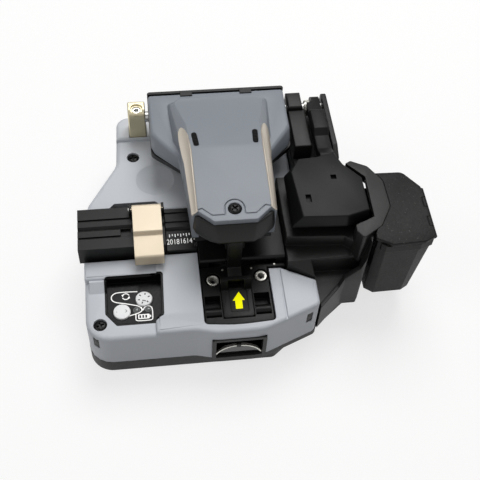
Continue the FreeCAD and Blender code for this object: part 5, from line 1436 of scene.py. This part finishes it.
def softTop(piece, height, radius, segments=4):
    # Round the edges that lie at this height.
    selectOnly(piece)
    bpy.ops.object.mode_set(mode="EDIT")
    bpy.ops.mesh.select_mode(type="EDGE")
    bpy.ops.mesh.select_all(action="DESELECT")
    mesh = bmesh.from_edit_mesh(piece.data)
    level = height * millimetre
    for edge in mesh.edges:
        edge.select_set(all(abs(vertex.co.z - level) < 0.01 * millimetre for vertex in edge.verts))
    bmesh.update_edit_mesh(piece.data)
    bpy.ops.mesh.bevel(offset=radius * millimetre, segments=segments, clamp_overlap=False)
    bpy.ops.mesh.select_all(action="SELECT")
    bpy.ops.mesh.remove_doubles(threshold=0.01 * millimetre)
    editDone()
    return piece


def copyPiece(piece):
    selectOnly(piece)
    bpy.ops.object.duplicate()
    return bpy.context.object


# Front cover: low rim, raised field, hump behind the deck, recess for the panel
coverForm = {
    "seam": 6.8, "low": 22.3, "high": 24.5, "hump": 25.3, "edge": 1.6, "highEdge": 1.2, "wall": 2.0,
    "floor": 20.2,
    "front": [(-51.0, -39.6, 8.0), (-15.0, -39.6, 12.0), (-8.0, -41.3, 12.0), (8.0, -41.3, 18.0),
              (28.0, -33.2, 2.5)],
    "rear": [(28.0, -23.3, 1.0), (16.4, -17.2, 1.0), (12.2, -17.0)],
    "side": [(12.2, -9.3), (-51.0, -9.3)],
    "raised": [(-51.0, -17.0, 1.0), (-27.8, -17.0, 1.0), (-27.8, -39.6, 1.0), (-15.0, -39.6, 12.0),
               (-8.0, -41.3, 12.0), (8.0, -41.3, 18.0), (28.0, -33.2, 2.5)],
    "swell": [(-9.3, 23.5), (-9.3, 25.3), (-33.0, 25.3, 6.0), (-39.2, 24.2), (-39.2, 23.5)],
    "swellSides": (-26.6, -10.0),
    "ramp": [(-17.4, 21.3), (-17.4, 24.5), (-18.1, 24.5), (-21.5, 22.3), (-21.5, 21.3)],
    "slot": [(12.2, -38.1, 1.5), (-1.0, -38.9, 60.0), (-11.9, -37.7, 1.5), (-11.9, 0.0), (12.2, 0.0)],
    "groove": [(15.5, -44.0), (16.2, -44.0), (16.2, -15.0), (15.5, -15.0)],
    "panel": [(-44.4, -16.1, 1.2), (-44.4, -29.8, 0.8), (-40.7, -34.5, 0.8), (-27.6, -34.5, 0.8),
              (-24.9, -33.2, 0.8), (-24.3, -16.1, 1.2)],
    "hollow": [(-13.9, -39.6), (-13.9, -9.3), (-51.0, -9.3)],
    "lining": 0.8, "screw": (-46.2, -33.6, 2.3), "screwDeep": 1.6, "above": 30, "rampSides": (-49.4, -28.5),
    "grooveDeep": 0.6, "buttonGap": 0.15, "pocketHalf": 1.2, "pocketDeep": 1.2, "pocketLow": 15.0,
    "pocketHigh": 20.8,

    "window": (-9.5, 9.0, -44.3, -38.9, 6.8, 19.5),
    "leds": [(-34.0, -28.2, 0.8), (-30.1, -28.1, 0.8)],
}


def coverShape():
    seam = coverForm["seam"]
    low = softTop(prism(coverForm["front"] + coverForm["rear"] + coverForm["side"], seam, coverForm["low"]),
                  coverForm["low"], coverForm["edge"])
    high = softTop(prism(coverForm["raised"] + coverForm["rear"] + coverForm["side"], seam,
                         coverForm["high"]),
                   coverForm["high"], coverForm["highEdge"])
    swell = softenEdges(sidePrism(coverForm["swell"], *coverForm["swellSides"]), 0.5, 3, 40)
    ramp = sidePrism(coverForm["ramp"], *coverForm["rampSides"])
    return unite([low, high, swell, ramp])


def snapBox(x, y, facing, half, deep, low, high):
    turn = math.radians(facing)
    out = Vector((math.cos(turn), math.sin(turn)))
    side = Vector((-out.y, out.x)) * half
    near = Vector((x, y)) + out
    far = Vector((x, y)) - out * deep
    return outlinePlate([tuple(near + side), tuple(near - side), tuple(far - side), tuple(far + side)], low,
                        high)


def makeFrontCover():
    seam = coverForm["seam"]
    floor = coverForm["floor"]
    form = coverShape()
    form = cutAll(form, [prism(coverForm["slot"], seam - 1, coverForm["hump"] + 1),
                         prism(coverForm["groove"], coverForm["high"] - coverForm["grooveDeep"],
                               coverForm["hump"] + 1)])
    lining = combine(prism(coverForm["panel"], floor, coverForm["hump"] + 1), copyPiece(form), "INTERSECT")
    lining = cutAll(lining, [insetPlate(coverForm["panel"], coverForm["lining"], floor + coverForm["lining"],
                                        28)])
    wells = [pinZ(floor - 1, floor + 2, settings["x"], settings["y"],
                  settings["radius"] + coverForm["buttonGap"])
             for settings in buttons.values()]
    wells += [pinZ(floor - 1, floor + 2, x, y, radius) for x, y, radius in coverForm["leds"]]
    lining = cutAll(lining, wells)
    settle(lining, "panelLining", materials["panelBlack"], "base",
           replaced=("panel_bezel",), smooth=25)
    hollow = insetPlate(coverForm["front"][:2] + coverForm["hollow"], coverForm["wall"],
                        seam - 1, floor - 2)
    x, y, radius = coverForm["screw"]
    cutters = [hollow, prism(coverForm["panel"], floor, coverForm["above"]),
                pinZ(coverForm["low"] - coverForm["screwDeep"], coverForm["above"], x, y, radius),
               boxPiece(*coverForm["window"])]
    cutters += [snapBox(x, y, facing, coverForm["pocketHalf"], coverForm["pocketDeep"],
                         coverForm["pocketLow"], coverForm["pocketHigh"]) for x, y, facing in clips["places"]]
    cutters += [pinZ(floor - 3, floor + 1, settings["x"], settings["y"],
                     settings["radius"] + coverForm["buttonGap"])
                for settings in buttons.values()]
    form = cutAll(form, cutters)
    settle(form, "frontShell", materials["caseGrey"], "base",
           replaced=("front_cover",), smooth=25)


makeFrontCover()
print("front cover and panel lining")

# Front deck and the sliding latch
deckForm = {
    "under": 17.5, "top": 24.0,
    "outline": [(-11.6, -37.4, 1.3), (-1.0, -38.6, 60.0), (11.9, -37.8, 1.3), (11.9, -16.6), (18.3, -16.6),
                (18.3, -14.9), (-11.6, -14.9)],
    "latchHalf": 5.2, "latchFront": -35.8, "latchRear": -23.8, "latchFloor": 20.6,
    "latchGap": 0.15, "slotRear": -20.6, "pocketUnder": 0.4, "wellDeep": 3.0, "barSunk": 0.3,
    "pocket": (5.75, 11.0, -35.2, -26.8), "barY": -32.5, "barZ": 21.9, "bar": 1.9, "well": 2.65,
    "label": [(-2.6, -33.7, 0.4), (3.5, -33.7, 0.4), (3.5, -24.9, 0.4), (-2.6, -24.9, 0.4)],
    "catchRear": -22.2, "catchUnder": 27.3, "catchTop": 28.3, "plateCorner": 0.8, "plateChamfer": (0.9, 1.2),
    "plateRise": 0.4, "plateEdge": 0.2, "riserInner": 2.8, "riser": (1.4, 0.6, 1.6, 0.15),
}


def makeDeck():
    top = deckForm["top"]
    body = softTop(prism(deckForm["outline"], deckForm["under"], top), top, 0.5, 3)
    half = deckForm["latchHalf"] + deckForm["latchGap"]
    cutters = [boxPiece(-half, half, deckForm["latchFront"] - deckForm["latchGap"], deckForm["slotRear"],
                        deckForm["latchFloor"] - 0.1, top + 1)]
    left, right, front, rear = deckForm["pocket"]
    pocketFloor = deckForm["latchFloor"] - deckForm["pocketUnder"]
    cutters += [boxPiece(left, right, front, rear, pocketFloor, top + 1),
                boxPiece(-right, -left, front, rear, pocketFloor, top + 1)]
    cutters += [pinZ(top - deckForm["wellDeep"], top + 1, x, y, deckForm["well"])
                for x, y in socketScrews["places"]]
    body = cutAll(body, cutters)
    sunk = deckForm["barSunk"]
    bars = [pinX(near, far, deckForm["barY"], deckForm["barZ"], deckForm["bar"])
            for near, far in ((left - sunk, right + sunk), (-right - sunk, -left + sunk))]
    body = unite([body] + bars)
    settle(body, "deckPlate", materials["deckBlack"], "base",
           replaced=("front_deck",), smooth=25)


def makeLatch():
    half, front, rear = deckForm["latchHalf"], deckForm["latchFront"], deckForm["latchRear"]
    top = deckForm["top"]
    corner, plateTop = deckForm["plateCorner"], top + deckForm["plateRise"]
    side, back = deckForm["plateChamfer"]
    outline = [(-half, front, corner), (half, front, corner), (half, rear - back), (half - side, rear),
               (-half + side, rear), (-half, rear - back)]
    plate = softTop(prism(outline, deckForm["latchFloor"], plateTop), plateTop, deckForm["plateEdge"], 2)
    plate = cutAll(plate, [prism(deckForm["label"], top, top + 2)])
    catchRear = deckForm["catchRear"]
    catchTop, inner = deckForm["catchTop"], deckForm["riserInner"]
    deep, rise, slope, foot = deckForm["riser"]
    risers = [sidePrism([(rear - deep, top), (rear - deep, top + rise), (catchRear - slope, catchTop),
                         (catchRear, catchTop), (catchRear, top + foot)], near, far)
              for near, far in ((-half, -inner), (inner, half))]
    bridge = boxPiece(-half, half, catchRear - deep, catchRear, deckForm["catchUnder"], catchTop)
    body = unite([plate] + risers + [bridge])
    settle(body, "latchPlate", materials["deckBlack"], "latch",
           replaced=("latch_slide",), smooth=25)


makeDeck()
makeLatch()
print("front deck and latch")

# Right-hand housing
housingEdge = [(28.6, -32.6), (38.4, -23.2, 1.0), (45.0, -22.2, 1.0), (46.8, -18.0, 1.5), (46.8, 8.5, 1.5),
               (42.0, 19.0, 3.0), (42.0, 50.2, 1.5)]
housingForm = {
    "seam": 6.8, "pit": 20.0, "shelf": 28.0, "ledge": 33.0, "rear": 30.0, "hoodUnder": 39.8, "hoodTop": 42.0,
    "skirt": 35.0,
    "low": [(28.3, -23.2)] + housingEdge + [(26.3, 50.2), (26.3, 15.7), (18.6, 15.7), (18.6, -18.0)],
    "middle": [(18.6, -17.6), (44.2, -17.6), (46.8, -14.0), (46.8, 8.5, 1.5), (42.0, 19.0, 3.0),
               (42.0, 50.2, 1.5), (26.3, 50.2), (26.3, 15.7), (18.6, 15.7)],
    "upper": [(18.6, -11.0), (38.7, -12.3), (44.2, -17.0), (46.8, -15.0), (46.8, 8.5, 1.5), (42.0, 19.0, 3.0),
              (42.0, 24.0), (26.3, 24.0), (26.3, 15.7), (18.6, 15.7)],
    "block": [(42.0, 23.5), (42.0, 50.2, 1.5), (26.3, 50.2), (26.3, 23.5)],
    "spur": [(18.6, -17.0), (18.6, -18.2), (27.6, -22.9), (26.6, -17.0)],
    "spurFall": [(-17.6, 28.01), (-23.6, 24.7), (-25.0, 24.7), (-25.0, 29.0), (-17.6, 29.0)],
    "tail": [(18.8, 32.0), (18.8, 37.8, 1.0), (24.0, 40.0, 2.0), (50.2, 40.0, 2.0), (50.2, 29.0),
             (24.0, 29.0)],
    "wallBand": housingEdge[:4] + [(46.8, -15.0), (44.8, -16.0), (43.6, -20.6), (38.2, -21.4), (28.9, -30.6)],
    "wallFall": [(26.0, 20.3), (36.0, 20.6), (43.4, 27.0), (45.6, 35.0), (46.0, 50.0), (26.0, 50.0)],
    "hood": [(40.9, -16.6), (43.0, -19.7, 1.0), (50.0, -15.2, 3.0), (54.5, -7.4, 4.0), (54.3, 4.2, 5.0),
             (50.0, 11.0, 3.0), (44.4, 13.9, 0.8), (42.1, 12.6)],
    "armGap": [(30.0, -15.4), (40.2, -14.6), (48.0, -11.2), (48.3, 6.2), (42.8, 12.4), (39.6, 19.5),
               (30.0, 19.5)],
    "frontPost": [(40.9, -16.0), (43.0, -19.4, 1.0), (46.8, -17.2), (46.8, -12.6), (44.0, -14.2)],
    "rearPost": [(42.4, 12.6), (44.4, 13.8, 1.0), (46.8, 11.5), (46.8, 8.3), (44.6, 10.4)],
    "bay": (22.6, 35.4, 6.2), "bayFloor": 18.4, "trough": (5.6, 25.0), "troughRight": 47.8,
    "binPins": (-11.0, 3.0), "binPinZ": 15.0, "binPinReach": (42.4, 47.4), "binPinBore": 1.55,
    "axleZ": 24.4, "axleReach": 2.5, "shaftReach": (39.0, 41.5), "shaftBore": 2.0,
    "tailSides": (40.0, 42.0), "sideReach": (-40.0, -10.0), "skirtThick": 1.5,
    "skirtGap": (30.0, 46.0, -14.0, 11.0), "spurSides": (0.0, 40.0), "overlap": 0.5,
    "soft": {"low": 0.3, "middle": 0.4, "upper": 0.5, "block": 0.3, "tail": 0.35, "side": 0.3, "roof": 0.4},
}


def makeHousing():
    form = housingForm
    pit, shelf, ledge, soft = form["pit"], form["shelf"], form["ledge"], form["soft"]
    low = softTop(prism(form["low"], form["seam"], pit), pit, soft["low"], 2)
    middle = softTop(prism(form["middle"], pit - 1, shelf), shelf, soft["middle"], 3)
    upper = softTop(prism(form["upper"], shelf - 1, ledge), ledge, soft["upper"], 3)
    block = softTop(prism(form["block"], shelf - 1, form["rear"]), form["rear"], soft["block"], 2)
    spur = cutAll(prism(form["spur"], pit - 1, shelf), [sidePrism(form["spurFall"], *form["spurSides"])])
    tail = softenEdges(sidePrism(form["tail"], *form["tailSides"]), soft["tail"], 2, 40)
    side = cutAll(prism(form["wallBand"], pit - 1, form["hoodUnder"]),
                  [frontPrism(form["wallFall"], *form["sideReach"])])
    side = softenEdges(side, soft["side"], 2, 35)
    hoodUnder, hoodTop, skirtLow = form["hoodUnder"], form["hoodTop"], form["skirt"]
    roof = softTop(prism(form["hood"], hoodUnder, hoodTop), hoodTop, soft["roof"], 3)
    joined = hoodUnder + form["overlap"]
    roof = cutAll(roof, [prism(form["armGap"], hoodUnder - 1, hoodTop + 1)])
    skirt = cutAll(prism(form["hood"], skirtLow, joined),
                   [insetPlate(form["hood"], form["skirtThick"], skirtLow - 1, hoodTop),
                    prism(form["armGap"], skirtLow - 1, hoodTop),
                    boxPiece(*form["skirtGap"], skirtLow - 1, hoodTop)])
    posts = [prism(form[name], shelf - 1, joined) for name in ("frontPost", "rearPost")]
    body = unite([low, middle, upper, block, spur, tail, side, roof, skirt] + posts)
    left, right, half = form["bay"]
    troughHalf, troughFloor = form["trough"]
    cutters = [boxPiece(left, right, -half, half, form["bayFloor"], ledge + 1),
               boxPiece(right - 1, form["troughRight"], -troughHalf, troughHalf, troughFloor, skirtLow),
               pinY(-half - form["axleReach"], half + form["axleReach"], armForm["rollerX"], form["axleZ"],
                     armForm["journal"]),
               pinX(*form["shaftReach"], hinge["y"], hinge["z"], form["shaftBore"])]
    cutters += [pinX(*form["binPinReach"], y, form["binPinZ"], form["binPinBore"]) for y in form["binPins"]]
    body = cutAll(body, cutters)
    settle(body, "housingShell", materials["shellBlack"], "base",
           replaced=("right_housing",), smooth=25)


makeHousing()
print("right-hand housing")

# Block that carries the shaft at the right, and the bin's lid
blockForm = {"left": 26.5, "right": 32.9, "front": 24.5, "step": 42.4, "rear": 50.2, "low": 30.0, "top": 39.0,
             "rearTop": 40.6}
lidForm = {
    "top": 42.0, "thick": 1.4, "axisX": 66.7, "axisZ": 40.9, "knuckle": 1.1, "grow": 0.4, "soft": 0.35,
    "gap": 0.15, "clearance": 0.2,
    "outline": [(51.4, 7.6), (61.6, 7.3, 3.0), (66.9, 0.3, 1.5), (66.9, -21.0, 1.0), (63.4, -22.8, 1.5),
                (52.2, -23.2, 2.0), (46.9, -20.1, 0.8), (47.2, -18.0), (53.0, -7.0), (53.0, 3.0)],
    "knucklesOfLid": [(-20.6, -16.8), (-12.4, -8.6), (-4.2, -0.4)],
    "knucklesOfBin": [(-16.5, -12.7), (-8.3, -4.5)],
}


def makeHingeBlock():
    front = softTop(boxPiece(blockForm["left"], blockForm["right"], blockForm["front"], blockForm["step"],
                             blockForm["low"], blockForm["top"]), blockForm["top"], 0.5, 3)
    rear = softTop(boxPiece(blockForm["left"], blockForm["right"] - 0.8, blockForm["step"], blockForm["rear"],
                            blockForm["low"], blockForm["rearTop"]), blockForm["rearTop"], 0.8, 3)
    body = cutAll(unite([front, rear]),
                  [pinX(blockForm["left"] - 1, blockForm["right"] + 1, hinge["y"], hinge["z"],
                        housingForm["shaftBore"])])
    settle(body, "shaftBlock", materials["shellBlack"], "base",
           replaced=("hinge_block",), smooth=25)


def makeLid():
    top, axisX, axisZ = lidForm["top"], lidForm["axisX"], lidForm["axisZ"]
    radius, gap, clearance = lidForm["knuckle"], lidForm["gap"], lidForm["clearance"]
    plate = softTop(prism(lidForm["outline"], top - lidForm["thick"], top), top, lidForm["soft"], 3)
    body = cutAll(plate, [insetPlate(housingForm["hood"], -lidForm["grow"], top - 3, top + 1)])
    body = unite([body] + [pinY(low, high, axisX, axisZ, radius) for low, high in lidForm["knucklesOfLid"]])
    cutters = []
    for low, high in lidForm["knucklesOfBin"]:
        cutters.append(pinY(low - gap, high + gap, axisX, axisZ, radius + clearance))
        cutters.append(boxPiece(axisX - clearance, axisX + 3, low - gap, high + gap, axisZ - 2, top + 1))
    body = cutAll(body, cutters)
    settle(body, "binLidPlate", materials["binBlack"], "lid",
           replaced=("bin_lid",), smooth=25)


makeHingeBlock()
makeLid()
print("shaft block and bin lid")

# Ears at the rear corners of the holder's clamp flap
flapLow, flapHigh = (millimetres(corner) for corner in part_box("clamp_flap"))
ears = {"out": 0.8, "in": 0.6, "behind": 2.4, "deep": 1.3, "thick": 1.0, "drop": 0.15}


def makeEars():
    made = []
    rear = flapHigh[1] - ears["behind"] + ears["deep"]
    top = flapHigh[2] - ears["drop"]
    for left, right in ((flapLow[0] - ears["out"], flapLow[0] + ears["in"]),
                        (flapHigh[0] - ears["in"], flapHigh[0] + ears["out"])):
        piece = boxPiece(left, right, rear - ears["deep"], rear, top - ears["thick"], top)
        made.append(softenEdges(piece, 0.2, 2, 30))
    settle(joinPieces(made), "flapEars", materials["champagne"], "flap", smooth=30)


makeEars()
print("ears of the flap")

# Thumb dish in the rear cover
dish = {"x": -24.5, "y": 23.8, "top": 26.0, "radius": 7.2, "depth": 1.3, "under": 1.9, "rim": 0.6,
        "steps": 12, "turns": 96}


def makeDish():
    radius, depth = dish["radius"], dish["depth"]
    ball = (radius ** 2 + depth ** 2) / (2 * depth)
    profile = []
    for step in range(dish["steps"] + 1):
        out = radius * step / dish["steps"]
        profile.append((out, ball - depth - math.sqrt(ball ** 2 - out ** 2)))
    profile += [(radius, -dish["rim"]), (0, -dish["under"])]
    piece = turned(profile, (dish["x"], dish["y"], dish["top"]), steps=dish["turns"])
    settle(piece, "thumbDish", materials["caseGrey"], "base", smooth=30)


makeDish()
print("thumb dish")

# Camera, light and floor
view = {
    "azimuth": -10.17,
    "elevation": 54.67,
    "roll": 4.31,
    "distance": 306.5,
    "target": (3.5, -5.9, 26.0),
    "lens": 65.43,
    "sensor": 36.0,
}


def placeCamera():
    azimuth = math.radians(view["azimuth"])
    elevation = math.radians(view["elevation"])
    roll = math.radians(view["roll"])
    back = Vector((math.sin(azimuth) * math.cos(elevation), -math.cos(azimuth) * math.cos(elevation),
                   math.sin(elevation)))
    right = (-back).cross(Vector((0, 0, 1))).normalized()
    up = right.cross(-back)
    turnedRight = right * math.cos(roll) + up * math.sin(roll)
    turnedUp = -right * math.sin(roll) + up * math.cos(roll)
    bpy.ops.object.camera_add()
    camera = bpy.context.object
    camera.name = "benchCamera"
    turn = Matrix((turnedRight, turnedUp, back)).transposed().to_4x4()
    place = at(*view["target"]) + back * view["distance"] * millimetre
    camera.matrix_world = Matrix.Translation(place) @ turn
    camera.data.sensor_width = view["sensor"]
    camera.data.lens = view["lens"]
    camera.data.clip_start = 0.01
    bpy.context.scene.camera = camera


lamps = [
    # name, direction to it (azimuth from the front, elevation), distance, size and power
    ("softboxOverhead", 160, 62, 0.75, 0.50, 3.7),
    ("softboxLeft", -78, 46, 0.80, 0.40, 0.75),
    ("softboxFront", 8, 38, 0.90, 0.60, 0.62),
]


def placeLamps():
    middle = at(3.5, 0, 25)
    for name, azimuth, elevation, distance, size, power in lamps:
        azimuth = math.radians(azimuth)
        elevation = math.radians(elevation)
        away = Vector((math.sin(azimuth) * math.cos(elevation), -math.cos(azimuth) * math.cos(elevation),
                       math.sin(elevation)))
        bpy.ops.object.light_add(type="AREA")
        lamp = bpy.context.object
        lamp.name = name
        lamp.data.shape = "SQUARE"
        lamp.data.size = size
        lamp.data.energy = power
        lamp.location = middle + away * distance
        lamp.rotation_euler = away.to_track_quat("Z", "Y").to_euler()


def seenDirectly(tree):
    # One where a camera, glossy or transmission ray looks.
    path = addNode(tree, "ShaderNodeLightPath")
    either = mathNode(tree, "ADD", path.outputs["Is Camera Ray"], path.outputs["Is Glossy Ray"])
    return mathNode(tree, "ADD", either, path.outputs["Is Transmission Ray"], True)


# Brightness of the room to the camera, in reflections and as fill light
studio = {"seen": 1.0, "mirrored": 0.42, "fill": 0.20}


def makeWorld():
    world = bpy.data.worlds.new("paleStudio")
    bpy.context.scene.world = world
    world.use_nodes = True
    tree = world.node_tree
    tree.nodes.clear()
    path = addNode(tree, "ShaderNodeLightPath")
    seen = mathNode(tree, "MULTIPLY", path.outputs["Is Camera Ray"], studio["seen"] - studio["fill"])
    mirror = mathNode(tree, "MULTIPLY", path.outputs["Is Glossy Ray"], studio["mirrored"] - studio["fill"])
    strength = mathNode(tree, "ADD", mathNode(tree, "ADD", seen, mirror), studio["fill"])
    glow = addNode(tree, "ShaderNodeBackground", inputs={"Color": (1, 1, 1, 1), "Strength": strength})
    end = addNode(tree, "ShaderNodeOutputWorld")
    tree.links.new(glow.outputs[0], end.inputs["Surface"])


def makeFloor():
    bpy.ops.object.select_all(action="DESELECT")
    bpy.ops.mesh.primitive_plane_add(size=3.0, location=(0, 0, -0.0001))
    floor = bpy.context.object
    floor.name = "paleFloor"
    material = bpy.data.materials.new("palePaper")
    material.use_nodes = True
    tree = material.node_tree
    tree.nodes.clear()
    seen = seenDirectly(tree)
    tone = mixColours(tree, seen, (0.42, 0.42, 0.43, 1), (0.90, 0.90, 0.89, 1))
    matt = addNode(tree, "ShaderNodeBsdfDiffuse", inputs={"Color": tone})
    glow = addNode(tree, "ShaderNodeEmission", inputs={"Color": (1, 1, 1, 1), "Strength": 1.12})
    mix = addNode(tree, "ShaderNodeMixShader", inputs={0: mathNode(tree, "MULTIPLY", seen, 0.62)})
    tree.links.new(matt.outputs[0], mix.inputs[1])
    tree.links.new(glow.outputs[0], mix.inputs[2])
    end = addNode(tree, "ShaderNodeOutputMaterial")
    tree.links.new(mix.outputs[0], end.inputs["Surface"])
    floor.data.materials.append(material)


placeCamera()
placeLamps()
makeWorld()
makeFloor()
bpy.context.scene.view_settings.view_transform = "Standard"
print("camera, lamps and floor are placed")
